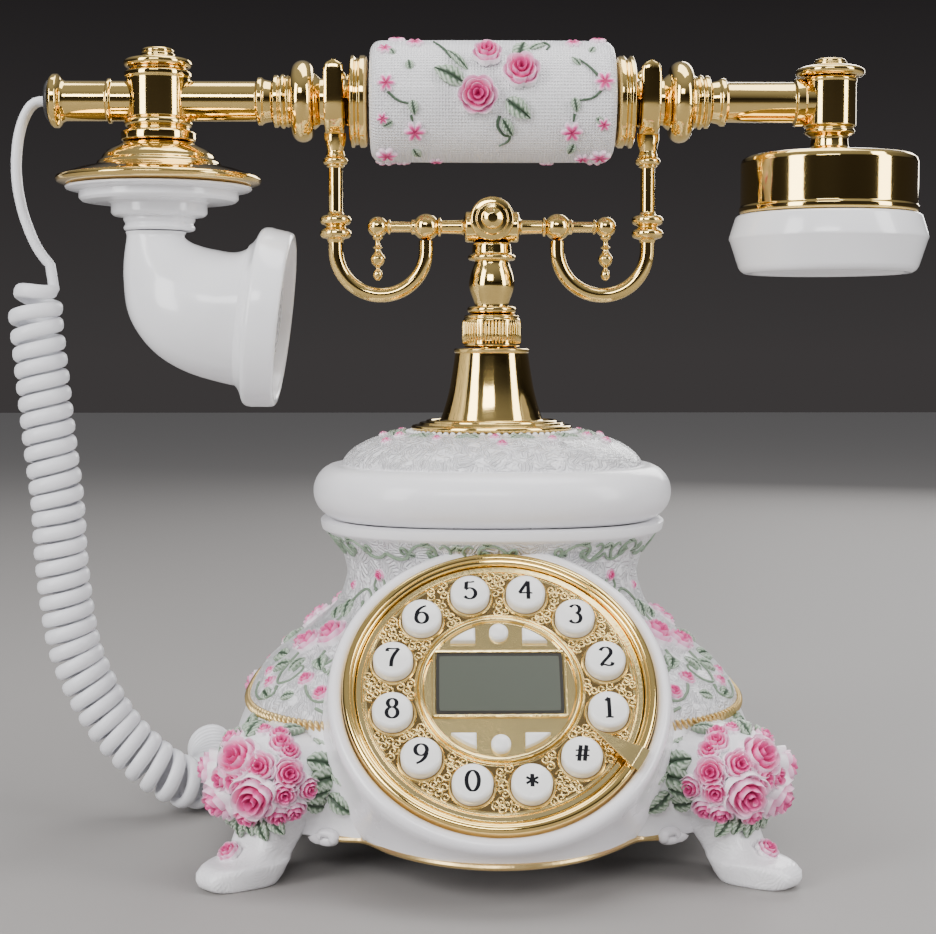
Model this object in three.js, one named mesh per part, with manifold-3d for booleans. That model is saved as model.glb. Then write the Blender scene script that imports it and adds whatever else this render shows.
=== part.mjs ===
// An ornate table telephone: a cast resin base with cabriole feet, a lid and a tilted dial of
// push keys, a gilded cradle on a spring-loaded stem, and a handset with a swan-neck mouthpiece.
// Millimetres, +Z up, the dial facing -Y. The column of the cradle stands on x = 0, y = 0 while the
// pieces are made, and the last lines move the whole group so that the origin is under its middle.
import * as THREE from 'three';
import { mergeVertices } from 'three/addons/utils/BufferGeometryUtils.js';
import Module from 'manifold-3d';

const wasm = await Module();
wasm.setup();

// ---------------------------------------------------------------- driving dimensions
const GAP = 0.3; // clearance between two pieces that seat on each other

// base casting: half widths of its rounded square plan, and the heights where they are reached
const APRON_Z = 8.5;
const APRON_HALF = 74;
const BELLY_HALF = 77;
const BELLY_Z = 26;
const TRIM_HALF = 74.5;
const TRIM_Z = 37;
const WAIST_HALF = 44.8;
const WAIST_Z = 74;
const LIP_HALF = 52.7;
const BODY_TOP_Z = 92;
const ROSE_MOUND_R = 17;
const WALL = 5;
const FLOOR_THICKNESS = 2.5;
const FLOOR_LIFT = 1.5; // the base plate's height above the apron's edge

// cabriole feet, out along the diagonals; their soles are below the datum of the heights
const SOLE_Z = -3.3;
const TOE_REACH = 110.5;
const TOE_HEIGHT = 6;
const HEEL_REACH = 94;
const LEG_ROOT = 17; // from the heel in to where the leg leaves the casting
const LEG_TOP_Z = 24;
const TOE_WIDTH = 10;
const LEG_WIDTH = 24;

// lid
const BEAD_HALF = 54.9;
const BEAD_HEIGHT = 15.7;
const DOME_HALF = 45.6;
const LID_HEIGHT = 25.7;
const LID_FLAT_R = 25.2;

// dial, drawn flat with its visible face at z = 0 and then tilted back
const DIAL_TILT = 39; // degrees that the face leans back from upright
const DIAL_Y = -75;
const DIAL_Z = 51.3;
const BEZEL_R = 42.7;
const BEZEL_WIDTH = 3.3;
const BEZEL_PROUD = 2;
const BOSS_BORDER = 4.1; // of the boss outside the bezel
const BOSS_DEPTH = 45;
const RECESS_DEPTH = 10.5;
const LEDGE_WIDTH = 3.4; // that the plate rests on, inside the bezel
const LEDGE_THICKNESS = 3.7;
const PLATE_THICKNESS = 1.5;
const RING_R = 21.6; // raised ring round the display
const KEY_INSET = 9.4; // from the bezel's inner edge to the middle of a key
const KEY_R = 5.5;
const KEY_PROUD = 4;
const KEY_TRAVEL = 1.2;
const KEY_DEPTH = 4.5;
const DOT_KEY_R = 2.7;
const DOT_KEY_Y = 17;
const WEDGE_R = 19.6;
const WEDGE_X = 6.2;
const WEDGE_Y = 13.7;
const WINDOW_WIDTH = 35;
const WINDOW_HEIGHT = 19;
const WINDOW_LIFT = 1.5;
const BOARD_THICKNESS = 1.6;
const STOP_TIP_R = 28.4;
const STOP_END_R = 44.2;

// column and cradle
const STEM_R = 3.8;
const BELL_FLANGE_R = 24.8;
const BELL_HEIGHT = 25.3;
const BELL_FOOT_R = 15.8;
const BELL_TOP_R = 11.1;
const NUT_R = 9.4;
const NUT_HEIGHT = 10.1;
const BALUSTER_HEIGHT = 21.7;
const HUB_R = 6.8;
const HUB_LENGTH = 13;
const CROSSBAR_DROP = 2.2; // the crossbar's axis below the hub's
const CROSSBAR_R = 2.05;
const CROSSBAR_BALL_R = 4.1;
const CROSSBAR_END_X = 35.1;
const CROSSBAR_END_R = 3.2;
const HOOK_TUBE_R = 2.25;
const HOOK_BEND_R = 13.9;
const HOOK_BEND_DROP = 7;
const HOOK_X = 48;
const YOKE_WIDTH = 6;
const YOKE_PRONG = 3.4;
const YOKE_RISE = 11.3; // prong tips above the handset's axis
const HOOK_TRAVEL = 4;

// handset
const HANDSET_RISE = 35.9; // the handset's axis above the crossbar hub's
const GRIP_R = 18.8;
const GRIP_HALF = 37.6;
const FERRULE_R = 14;
const NECK_R = 7;
const NECK_BALL_R = 12.4;
const NECK_END_X = 66.8;
const TUBE_R = 6.1;
const TUBE_BORE_R = 4.4;
const MOUTH_X = -102;
const MOUTH_BARREL_R = 9.8;
const FLANGE_R = 31.4;
const FLARE_X = -134.5;
const FLARE_R = 8.2;
const EAR_X = 104;
const EAR_BARREL_R = 8;
const EAR_CUP_R = 27;
const EAR_CUP_HEIGHT = 17.7;
const EAR_CAP_R = 30.3;
const EAR_CAP_HEIGHT = 18;
const HORN_WALL = 2.4;

// sockets and cord
const SOCKET_X = 35;
const SOCKET_Z = 20;
const SOCKET_Y = 73.5; // outer face of both sockets
const SOCKET_WIDTH = 15;
const SOCKET_HEIGHT = 12;
const SOCKET_DEPTH = 14;
const PLUG_WIDTH = 7.6;
const PLUG_HEIGHT = 6.4;
const PLUG_LENGTH = 13;
const PLUG_SHOWS = 4;
const LINE_MOUTH_WIDTH = 9.8;
const LINE_MOUTH_HEIGHT = 6.8;
const CORD_R = 2.2;
const COIL_R = 8.3;

// facets
const ROUND = 14;
const FINE = 20;
const PLAN = 32;

// ---------------------------------------------------------------- materials
const finish = (color, roughness, metalness) =>
  new THREE.MeshStandardMaterial({ color, roughness, metalness });
const pearl = finish(0xf1eef3, 0.35, 0);
const gold = finish(0xd8a545, 0.16, 1);
const black = finish(0x16161a, 0.5, 0);
const glass = finish(0x6b7268, 0.15, 0);
const board = finish(0x2f6b3c, 0.6, 0);
const steel = finish(0xb9bcc2, 0.35, 1);
const ivory = finish(0xf4f1ea, 0.3, 0);
const vinyl = finish(0xf2f2f4, 0.45, 0);

// ---------------------------------------------------------------- making closed shapes
// Merges shared corners, drops collapsed triangles and turns the faces outwards.
function closed(geometry) {
  const bare = geometry.clone();
  bare.deleteAttribute('normal');
  bare.deleteAttribute('uv');
  const merged = mergeVertices(bare, 1e-4);
  const place = merged.getAttribute('position');
  const corner = [...merged.getIndex().array];
  const kept = [];
  let volume = 0;
  const a = new THREE.Vector3();
  const b = new THREE.Vector3();
  const c = new THREE.Vector3();
  for (let i = 0; i < corner.length; i += 3) {
    const [p, q, r] = corner.slice(i, i + 3);
    if (p === q || q === r || r === p) continue;
    kept.push([p, q, r]);
    a.fromBufferAttribute(place, p);
    b.fromBufferAttribute(place, q);
    c.fromBufferAttribute(place, r);
    volume += a.dot(b.cross(c));
  }
  merged.setIndex(kept.flatMap(([p, q, r]) => (volume < 0 ? [p, r, q] : [p, q, r])));
  return merged;
}

function solid(geometry) {
  const shape = closed(geometry);
  return new wasm.Manifold(new wasm.Mesh({
    numProp: 3,
    vertProperties: new Float32Array(shape.getAttribute('position').array),
    triVerts: new Uint32Array(shape.getIndex().array),
  }));
}

function geometryOf(manifold) {
  const mesh = manifold.getMesh();
  const geometry = new THREE.BufferGeometry();
  geometry.setAttribute('position', new THREE.BufferAttribute(mesh.vertProperties, 3));
  geometry.setIndex([...mesh.triVerts]);
  return geometry;
}

const join = (first, ...others) => others.reduce((whole, piece) => whole.add(piece), first);
const cut = (first, ...others) => others.reduce((whole, piece) => whole.subtract(piece), first);

// A turned shape round the Z axis from [radius, z] points; a full profile starts and ends at r = 0.
function turned(profile, segments = ROUND) {
  const points = profile.map(([r, z]) => new THREE.Vector2(r, z));
  return new THREE.LatheGeometry(points, segments).rotateX(Math.PI / 2);
}

// A turned shape round the X axis from [radius, x] points.
const turnedX = (profile, segments = ROUND) => turned(profile, segments).rotateY(Math.PI / 2);

// A plain or stepped bar: [radius, start, end] stretches in order.
const steps = (...stretches) => [
  [0, stretches[0][1]],
  ...stretches.flatMap(([r, low, high]) => [[r, low], [r, high]]),
  [0, stretches.at(-1)[2]],
];

const rod = (r, low, high, segments = ROUND) => turned(steps([r, low, high]), segments);
const rodX = (r, low, high, segments = ROUND) => turnedX(steps([r, low, high]), segments);

// A washer or sleeve.
const sleeve = (outer, inner, low, high, segments = ROUND) =>
  turned([[inner, low], [outer, low], [outer, high], [inner, high], [inner, low]], segments);

// Points of a round bead of radius r that stands centre away from the axis, between two heights.
const bead = (reach, middle, half, count = 5) =>
  Array.from({ length: count }, (_, i) => {
    const t = -Math.PI / 2 + (Math.PI * i) / (count - 1);
    return [reach + half * (Math.cos(t) - 1), middle + half * Math.sin(t)];
  });

// A ball of radius r centred at height z, as profile points from its lower to its upper pole.
const ball = (r, z, count = 7, low = 0, high = Math.PI) =>
  Array.from({ length: count }, (_, i) => {
    const t = low + ((high - low) * i) / (count - 1);
    return [r * Math.sin(t), z - r * Math.cos(t)];
  });

function box(width, depth, height, x = 0, y = 0, z = 0) {
  return new THREE.BoxGeometry(width, depth, height).translate(x, y, z);
}

// A skin over rings of equal counts of points, closed at both ends onto the middle of each end ring.
function skin(rings) {
  const count = rings[0].length;
  const middle = (ring) =>
    ring.reduce((sum, p) => sum.add(p), new THREE.Vector3()).divideScalar(count);
  const points = [...rings.flat(), middle(rings[0]), middle(rings.at(-1))];
  const last = (rings.length - 1) * count;
  const index = [];
  for (let i = 0; i < count; i += 1) {
    const j = (i + 1) % count;
    for (let k = 0; k < last; k += count) {
      index.push(k + i, k + j, k + count + j, k + i, k + count + j, k + count + i);
    }
    index.push(points.length - 2, j, i, points.length - 1, last + i, last + j);
  }
  const geometry = new THREE.BufferGeometry();
  geometry.setAttribute('position',
    new THREE.Float32BufferAttribute(points.flatMap((p) => [p.x, p.y, p.z]), 3));
  geometry.setIndex(index);
  return geometry;
}

// A ring of the rounded square |x|^e + |y|^e = half^e at height z.
function squircle([z, half, exponent], segments = PLAN) {
  return Array.from({ length: segments }, (_, i) => {
    const t = (2 * Math.PI * i) / segments;
    const across = (v) => Math.sign(v) * Math.abs(v) ** (2 / exponent) * half;
    return new THREE.Vector3(across(Math.cos(t)), across(Math.sin(t)), z);
  });
}

const tower = (levels, segments = PLAN) => skin(levels.map((level) => squircle(level, segments)));

// A round-sided tube along hand-chosen points.
function tube(points, radius, sides, count) {
  const path = new THREE.CatmullRomCurve3(points.map((p) => new THREE.Vector3(...p)));
  const section = new THREE.Shape();
  for (let i = 0; i < sides; i += 1) {
    const t = (2 * Math.PI * i) / sides;
    section[i ? 'lineTo' : 'moveTo'](radius * Math.cos(t), radius * Math.sin(t));
  }
  section.closePath();
  return new THREE.ExtrudeGeometry(section, { steps: count, extrudePath: path });
}

const extruded = (shape, depth, z = 0, curveSegments = 6) =>
  new THREE.ExtrudeGeometry(shape, { depth, bevelEnabled: false, curveSegments })
    .translate(0, 0, z);

const polar = (r, degrees) => {
  const t = THREE.MathUtils.degToRad(degrees);
  return [r * Math.sin(t), r * Math.cos(t)]; // clockwise from the top of the dial
};

// ---------------------------------------------------------------- sizes that follow
const BEZEL_INNER_R = BEZEL_R - BEZEL_WIDTH;
const BOSS_R = BEZEL_R + BOSS_BORDER;
const LEDGE_R = BEZEL_INNER_R - LEDGE_WIDTH;
const KEY_PITCH_R = BEZEL_INNER_R - KEY_INSET;

const lidZ = BODY_TOP_Z + GAP;
const lidTop = lidZ + LID_HEIGHT;
const bellZ = lidTop + GAP;
const nutZ = bellZ + BELL_HEIGHT + GAP;
const nutTop = nutZ + NUT_HEIGHT;
const hubZ = nutTop + GAP + BALUSTER_HEIGHT + HUB_R + GAP;
const handsetZ = hubZ + HANDSET_RISE;

// ---------------------------------------------------------------- scene graph
const telephone = new THREE.Group();
const dial = new THREE.Group();
const handset = new THREE.Group();
const mouth = new THREE.Group();
const ear = new THREE.Group();
telephone.add(dial, handset);
handset.add(mouth, ear);
dial.position.set(0, DIAL_Y, DIAL_Z);
dial.rotation.x = THREE.MathUtils.degToRad(90 - DIAL_TILT);
dial.updateMatrix();
handset.position.z = handsetZ;
mouth.position.x = MOUTH_X;
ear.position.x = EAR_X;

function add(name, shape, material, parent = telephone) {
  const geometry = shape.isBufferGeometry ? closed(shape) : geometryOf(shape);
  const mesh = new THREE.Mesh(geometry, material);
  mesh.name = name;
  parent.add(mesh);
  return mesh;
}

const onDial = (geometry) => geometry.clone().applyMatrix4(dial.matrix);

// ---------------------------------------------------------------- base casting
const lerp = THREE.MathUtils.lerp;

// The outline from the apron to the lip, as [z, half width, exponent of the plan].
function bodyOutline() {
  const rise = (share) => lerp(TRIM_Z, WAIST_Z, share);
  const narrow = (share) => lerp(WAIST_HALF, TRIM_HALF, share);
  const lip = (share) => lerp(WAIST_Z, BODY_TOP_Z, share);
  const widen = (share) => lerp(WAIST_HALF, LIP_HALF, share);
  return [
    [APRON_Z, APRON_HALF, 3.4],
    [lerp(APRON_Z, BELLY_Z, 0.4), lerp(APRON_HALF, BELLY_HALF, 0.25), 3.4],
    [lerp(APRON_Z, BELLY_Z, 0.75), BELLY_HALF, 3.3],
    [lerp(BELLY_Z, TRIM_Z, 0.4), BELLY_HALF, 3.2],
    [TRIM_Z, TRIM_HALF, 3.1],
    [rise(0.14), narrow(0.95), 3.0],
    [rise(0.26), narrow(0.84), 2.9],
    [rise(0.4), narrow(0.62), 2.8],
    [rise(0.56), narrow(0.38), 2.7],
    [rise(0.75), narrow(0.12), 2.6],
    [WAIST_Z, WAIST_HALF, 2.5],
    [lip(0.3), widen(0.08), 2.4],
    [lip(0.5), widen(0.32), 2.4],
    [lip(0.72), widen(0.82), 2.4],
    [lip(0.86), widen(1), 2.4],
    [BODY_TOP_Z, LIP_HALF, 2.4],
  ];
}

// The hollow follows the outline a wall's thickness inside it and runs out through both ends.
function bodyHollow() {
  const levels = bodyOutline()
    .filter((_, i) => i % 2 === 0 || i > 10)
    .map(([z, half, exponent]) => [z, half - WALL, exponent]);
  const [, lowHalf, lowExponent] = levels[0];
  const [, highHalf, highExponent] = levels.at(-1);
  return tower([
    [levels[0][0] - 2 * WALL, lowHalf, lowExponent],
    ...levels,
    [BODY_TOP_Z + WALL, highHalf, highExponent],
  ], 24);
}

// A cabriole foot along +X, cut to its plan so that it tapers to the toe.
function foot() {
  const side = new THREE.Shape();
  const toeZ = SOLE_Z + TOE_HEIGHT;
  side.moveTo(HEEL_REACH - LEG_ROOT, LEG_TOP_Z);
  side.quadraticCurveTo(HEEL_REACH - LEG_ROOT + 5, toeZ + 2, HEEL_REACH, SOLE_Z);
  side.lineTo(TOE_REACH - 1, SOLE_Z);
  side.quadraticCurveTo(TOE_REACH + 1, SOLE_Z + TOE_HEIGHT * 0.6, TOE_REACH - 1.5, toeZ);
  side.quadraticCurveTo(TOE_REACH - 12, toeZ - 1, TOE_REACH - 14, LEG_TOP_Z);
  side.closePath();
  const flank = extruded(side, LEG_WIDTH, -LEG_WIDTH / 2, 4).rotateX(Math.PI / 2);
  const plan = new THREE.Shape([
    new THREE.Vector2(HEEL_REACH - LEG_ROOT - 1, -LEG_WIDTH / 2 - 1),
    new THREE.Vector2(HEEL_REACH - 3, -LEG_WIDTH / 2 + 3),
    new THREE.Vector2(TOE_REACH + 1, -TOE_WIDTH / 2),
    new THREE.Vector2(TOE_REACH + 1, TOE_WIDTH / 2),
    new THREE.Vector2(HEEL_REACH - 3, LEG_WIDTH / 2 - 3),
    new THREE.Vector2(HEEL_REACH - LEG_ROOT - 1, LEG_WIDTH / 2 + 1),
  ]);
  return solid(flank).intersect(solid(extruded(plan, LEG_TOP_Z - SOLE_Z + 2, SOLE_Z - 1)));
}

// The low mound that carries the moulded roses on one corner of the belly.
function roseMound() {
  const corner = BELLY_HALF * 0.8;
  const mound = new THREE.SphereGeometry(ROSE_MOUND_R, 12, 8).scale(1, 1, 0.75);
  return solid(mound.translate(corner, corner, BELLY_Z));
}

const quarterTurns = [45, 135, 225, 315];
const turnedBy = (manifold, degrees) => manifold.rotate([0, 0, degrees]);
const belowApron = solid(box(400, 400, 40, 0, 0, APRON_Z - 20));
const hollow = solid(bodyHollow());
const bossFloor = solid(box(400, 400, 60, 0, 0, APRON_Z + 4 - 30));
const bossOuter = cut(
  solid(onDial(turned([
    [0, -BOSS_DEPTH], [BOSS_R + 4, -BOSS_DEPTH], [BOSS_R, -RECESS_DEPTH], [BOSS_R, -1.5],
    [BOSS_R - 1.2, 0], [0, 0],
  ], FINE))), belowApron);
const bossInner = cut(
  solid(onDial(rod(BEZEL_R, -BOSS_DEPTH, -RECESS_DEPTH - LEDGE_THICKNESS, FINE))), bossFloor);
const ledge = solid(onDial(sleeve(BOSS_R - 1, LEDGE_R, -RECESS_DEPTH - LEDGE_THICKNESS,
  -RECESS_DEPTH, FINE)));
const recess = solid(onDial(rod(BEZEL_R + GAP, -RECESS_DEPTH, BEZEL_PROUD + 15, FINE)));
const bossRim = solid(onDial(sleeve(BOSS_R - 0.5, BEZEL_R, -RECESS_DEPTH - 1, -1, FINE)));
const socketHole = (x) =>
  solid(box(SOCKET_WIDTH + 2 * GAP, 4 * SOCKET_DEPTH, SOCKET_HEIGHT + 2 * GAP,
    x, SOCKET_Y, SOCKET_Z));
const mound = roseMound();
const casting = cut(
  join(
    cut(join(solid(tower(bodyOutline())), bossOuter,
      ...quarterTurns.map((turn) => turnedBy(mound, turn - 45))), hollow, bossInner),
    ledge, bossRim, ...quarterTurns.map((turn) => turnedBy(foot(), turn))),
  recess, socketHole(-SOCKET_X), socketHole(SOCKET_X));
const floorHalf = APRON_HALF - WALL - GAP;
const floorZ = APRON_Z + FLOOR_LIFT;
const legTops = quarterTurns.map((turn) =>
  turnedBy(solid(box(40, LEG_WIDTH + 2 * GAP, 40, HEEL_REACH - LEG_ROOT + 20 - GAP, 0,
    APRON_Z + 10)), turn));
add('body_casting', casting, pearl);

// ---------------------------------------------------------------- base plate and what stands on it
const floorSlots = [-12, -6, 0, 6, 12].map((x) =>
  solid(box(2, 22, 10, x, 30, floorZ)));
add('base_plate', cut(
  solid(tower([[floorZ, floorHalf, 3.4], [floorZ + FLOOR_THICKNESS, floorHalf, 3.4]], 32)),
  ...floorSlots, ...legTops), steel);
const floorTop = floorZ + FLOOR_THICKNESS + GAP;
add('ringer_speaker', rod(14, floorTop, floorTop + 11).translate(0, 30, 0), black);

function socket(name, x, mouthWidth, mouthHeight) {
  const block = box(SOCKET_WIDTH, SOCKET_DEPTH, SOCKET_HEIGHT, x, SOCKET_Y - SOCKET_DEPTH / 2,
    SOCKET_Z);
  const mouthHole = box(mouthWidth, SOCKET_DEPTH, mouthHeight, x,
    SOCKET_Y - SOCKET_DEPTH / 2 + 3, SOCKET_Z);
  add(name, cut(solid(block), solid(mouthHole)), name === 'line_socket' ? black : ivory);
}
socket('line_socket', SOCKET_X, LINE_MOUTH_WIDTH, LINE_MOUTH_HEIGHT);
socket('cord_socket', -SOCKET_X, PLUG_WIDTH + 2 * GAP, PLUG_HEIGHT + 2 * GAP);

// ---------------------------------------------------------------- lid
const beadMiddle = lidZ + BEAD_HEIGHT / 2;
const beadLevels = [-80, -50, -20, 15, 50, 80].map((degrees) => {
  const t = THREE.MathUtils.degToRad(degrees);
  return [beadMiddle + (BEAD_HEIGHT / 2) * Math.sin(t),
    BEAD_HALF - (BEAD_HEIGHT / 2) * (1 - Math.cos(t)) * 0.75, 2.3];
});
const domeLevels = [[0.15, 1], [0.5, 0.86], [0.8, 0.6], [1, LID_FLAT_R / DOME_HALF]].map(
  ([up, share]) => [lerp(lidZ + BEAD_HEIGHT, lidTop, up), DOME_HALF * share, 2.2]);
const lidShell = tower([...beadLevels, ...domeLevels]);
const lidHollow = tower([
  [lidZ - WALL, LIP_HALF - WALL, 2.3], [beadMiddle, LIP_HALF - WALL, 2.3],
  [lidZ + BEAD_HEIGHT - 2, DOME_HALF - WALL, 2.3], [lidTop - WALL - 1, LID_FLAT_R, 2.2],
], 28);
add('lid', cut(solid(lidShell), solid(lidHollow), solid(rod(STEM_R + GAP, lidZ, lidTop + 1))),
  pearl);

// ---------------------------------------------------------------- hook switch and its spring
const switchTop = lidZ + 6;
const switchBridgeZ = BODY_TOP_Z - 7;
const springTop = switchTop + GAP + 7.1;
add('hook_switch', join(
  solid(box(2 * (WAIST_HALF - WALL) + 3, 14, 3, 0, 0, switchBridgeZ)),
  solid(box(24, 18, switchTop - switchBridgeZ, 0, 0, (switchTop + switchBridgeZ) / 2))), black);
add('hook_spring', sleeve(STEM_R + 2.2, STEM_R + 0.8, switchTop + GAP, springTop - GAP, 16), steel);

// ---------------------------------------------------------------- column
const bellWall = 2;
add('bell_cone', turned([
  [BELL_FLANGE_R - 4, bellZ], [BELL_FLANGE_R, bellZ], [BELL_FLANGE_R, bellZ + 1.4],
  [BELL_FLANGE_R - 1.2, bellZ + 2.2], [BELL_FOOT_R + 2.4, bellZ + 2.2],
  [BELL_FOOT_R, bellZ + 3.4], [lerp(BELL_TOP_R, BELL_FOOT_R, 0.42), bellZ + BELL_HEIGHT * 0.5],
  [BELL_TOP_R, bellZ + BELL_HEIGHT], [STEM_R + GAP, bellZ + BELL_HEIGHT],
  [STEM_R + GAP, bellZ + BELL_HEIGHT - bellWall],
  [BELL_TOP_R - bellWall, bellZ + BELL_HEIGHT - bellWall],
  [BELL_FOOT_R - bellWall, bellZ + 2.2], [BELL_FLANGE_R - 4, bellZ],
], FINE), gold);
add('knurled_nut', sleeve(NUT_R, STEM_R + GAP, nutZ, nutTop, FINE), gold);

// ---------------------------------------------------------------- cradle, which rises as one
const stemZ = nutTop + GAP;
const stemTop = hubZ - HUB_R - GAP;
const up = (share) => lerp(stemZ, stemTop, share);
add('cradle_stem', turned([
  [0, switchTop + GAP], [STEM_R, switchTop + GAP], [STEM_R, springTop],
  [STEM_R + 2.6, springTop], [STEM_R + 2.6, springTop + 1.7], [STEM_R, springTop + 1.7],
  [STEM_R, stemZ], ...bead(7.5, stemZ + 1, 1, 3), [5.4, up(0.12)], [6.4, up(0.25)],
  [7, up(0.4)], [6.5, up(0.55)], [5.3, up(0.72)], ...bead(7.3, up(0.78), 1, 3),
  [6, up(0.84)], [6, stemTop], [0, stemTop],
]), gold);

const barZ = hubZ - CROSSBAR_DROP;
const hookInnerX = HOOK_X - 2 * HOOK_BEND_R;
function crossbar() {
  const half = [
    [0, 0], [CROSSBAR_R + 2.6, 0], [CROSSBAR_R + 2.6, 8.4], [CROSSBAR_R, 8.6],
    [CROSSBAR_R, hookInnerX - 3.6], ...ball(CROSSBAR_BALL_R, hookInnerX, 5, 0.6, 2.6),
    [1.65, hookInnerX + 3.8], [1.65, CROSSBAR_END_X - 2.8],
    ...ball(CROSSBAR_END_R, CROSSBAR_END_X, 5, 0.6, Math.PI),
  ];
  const arm = solid(turnedX(half, 10)).translate([0, 0, barZ]);
  const drop = solid(turned([
    [0, -16.3], [1.2, -15.6], [1.5, -14.6], [1.2, -13.4], [0.8, -12.6], [1.9, -11.2],
    [2.3, -9.6], [1.4, -8], [1, -5], [1.2, -1], [0, -1],
  ].map(([r, z]) => [r, z + barZ]), 8)).translate([CROSSBAR_END_X, 0, 0]);
  const half3d = join(arm, drop);
  const hub = turned([
    [0, -HUB_LENGTH / 2 - 3], [2.4, -HUB_LENGTH / 2 - 2], [3, -HUB_LENGTH / 2],
    [HUB_R - 1, -HUB_LENGTH / 2], [HUB_R, -HUB_LENGTH / 2 + 1], [HUB_R, HUB_LENGTH / 2 - 1],
    [HUB_R - 1, HUB_LENGTH / 2], [3, HUB_LENGTH / 2], [2.4, HUB_LENGTH / 2 + 2],
    [0, HUB_LENGTH / 2 + 3],
  ]).rotateX(Math.PI / 2).translate(0, 0, hubZ);
  return join(solid(hub), half3d, half3d.rotate([0, 0, 180]));
}
add('cradle_crossbar', crossbar(), gold);

// A J of tube from under the crossbar's ball to the outside, and the rod with its yoke.
function hook() {
  const bendZ = barZ - HOOK_BEND_DROP;
  const bendX = HOOK_X - HOOK_BEND_R;
  const bend = Array.from({ length: 9 }, (_, i) => {
    const t = Math.PI + (Math.PI * i) / 8;
    return [bendX + HOOK_BEND_R * Math.cos(t), 0, bendZ + HOOK_BEND_R * Math.sin(t)];
  });
  const jay = tube([
    [hookInnerX, 0, barZ - CROSSBAR_BALL_R - GAP], ...bend, [HOOK_X, 0, barZ],
  ], HOOK_TUBE_R, 8, 22);
  const seatR = NECK_R + GAP;
  const outerR = seatR + YOKE_PRONG;
  const yokeBottom = handsetZ - outerR;
  const post = turned([
    [0, barZ - 4], ...bead(4.9, barZ - 2, 1.8, 3), ...bead(4.9, barZ + 2, 1.8, 3),
    [HOOK_TUBE_R, barZ + 4.2], [HOOK_TUBE_R, yokeBottom - 9],
    ...bead(3.9, yokeBottom - 7, 1.6, 3), [3, yokeBottom - 5], [3.2, yokeBottom + 1],
    [0, yokeBottom + 1],
  ], 10).translate(HOOK_X, 0, 0);
  const fork = new THREE.Shape();
  fork.moveTo(-outerR, handsetZ + YOKE_RISE);
  fork.lineTo(-outerR, handsetZ);
  fork.absarc(0, handsetZ, outerR, Math.PI, 2 * Math.PI, false);
  fork.lineTo(outerR, handsetZ + YOKE_RISE);
  fork.lineTo(seatR, handsetZ + YOKE_RISE);
  fork.lineTo(seatR, handsetZ);
  fork.absarc(0, handsetZ, seatR, 0, -Math.PI, true);
  fork.lineTo(-seatR, handsetZ + YOKE_RISE);
  fork.closePath();
  const turnUpright = new THREE.Matrix4().makeBasis(
    new THREE.Vector3(0, 1, 0), new THREE.Vector3(0, 0, 1), new THREE.Vector3(1, 0, 0));
  const yoke = extruded(fork, YOKE_WIDTH, -YOKE_WIDTH / 2, 7).applyMatrix4(turnUpright)
    .translate(HOOK_X, 0, 0);
  return join(solid(jay), solid(post), solid(yoke));
}
const rightHook = hook();
add('hook_right', rightHook, gold);
add('hook_left', rightHook.rotate([0, 0, 180]), gold);

// ---------------------------------------------------------------- dial
const windowGap = { width: WINDOW_WIDTH + 2 * GAP, height: WINDOW_HEIGHT + 2 * GAP };
const plateBack = -PLATE_THICKNESS;
const boardBack = -RECESS_DEPTH + GAP;
const boardFront = boardBack + BOARD_THICKNESS;

add('dial_bezel', turned([
  [BEZEL_INNER_R, -RECESS_DEPTH + 2 * GAP + BOARD_THICKNESS],
  [BEZEL_R, -RECESS_DEPTH + 2 * GAP + BOARD_THICKNESS],
  [BEZEL_R, BEZEL_PROUD - 0.8], [BEZEL_R - 1, BEZEL_PROUD],
  [BEZEL_INNER_R + 1, BEZEL_PROUD], [BEZEL_INNER_R, BEZEL_PROUD - 1.4],
  [BEZEL_INNER_R, -RECESS_DEPTH + 2 * GAP + BOARD_THICKNESS],
], FINE), gold, dial);

const plateR = BEZEL_INNER_R - GAP;
// each key's angle, clockwise from the top of the dial
const keyAngles = new Map([
  ['4', 15], ['3', 45], ['2', 75], ['1', 105], ['pound', 135], ['star', 165],
  ['0', 195], ['9', 225], ['8', 255], ['7', 285], ['6', 315], ['5', 345],
]);

// The outline of one wedge key, grown by a margin; signs choose its quarter of the ring.
function wedge(signX, signY, margin) {
  const x = WEDGE_X - margin;
  const y = WEDGE_Y - margin;
  const r = WEDGE_R + margin;
  const start = Math.asin(y / r);
  const end = Math.acos(x / r);
  const outline = [new THREE.Vector2(x, y)];
  for (let i = 0; i <= 4; i += 1) {
    const t = lerp(start, end, i / 4);
    outline.push(new THREE.Vector2(r * Math.cos(t), r * Math.sin(t)));
  }
  return new THREE.Shape(outline.map((p) => new THREE.Vector2(signX * p.x, signY * p.y)));
}
const wedges = [
  ['key_wedge_top_left', -1, 1], ['key_wedge_top_right', 1, 1],
  ['key_wedge_bottom_left', -1, -1], ['key_wedge_bottom_right', 1, -1],
];
const dots = [['key_dot_top', DOT_KEY_Y], ['key_dot_bottom', -DOT_KEY_Y]];

function dialPlate() {
  const disc = rod(plateR, plateBack, 0, FINE);
  const ring = sleeve(RING_R + 0.6, RING_R - 0.8, -0.5, 1.2, FINE);
  const holes = [
    box(windowGap.width, windowGap.height, 10, 0, WINDOW_LIFT, 0),
    ...[...keyAngles.values()].map((angle) => {
      const [x, y] = polar(KEY_PITCH_R, angle);
      return rod(KEY_R + GAP, -5, 5, 12).translate(x, y, 0);
    }),
    ...dots.map(([, y]) => rod(DOT_KEY_R + GAP, -5, 5, 10).translate(0, y, 0)),
    ...wedges.map(([, signX, signY]) => extruded(wedge(signX, signY, GAP), 10, -5)),
  ];
  return cut(join(solid(disc), solid(ring)), ...holes.map(solid));
}
add('dial_plate', dialPlate(), gold, dial);

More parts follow.
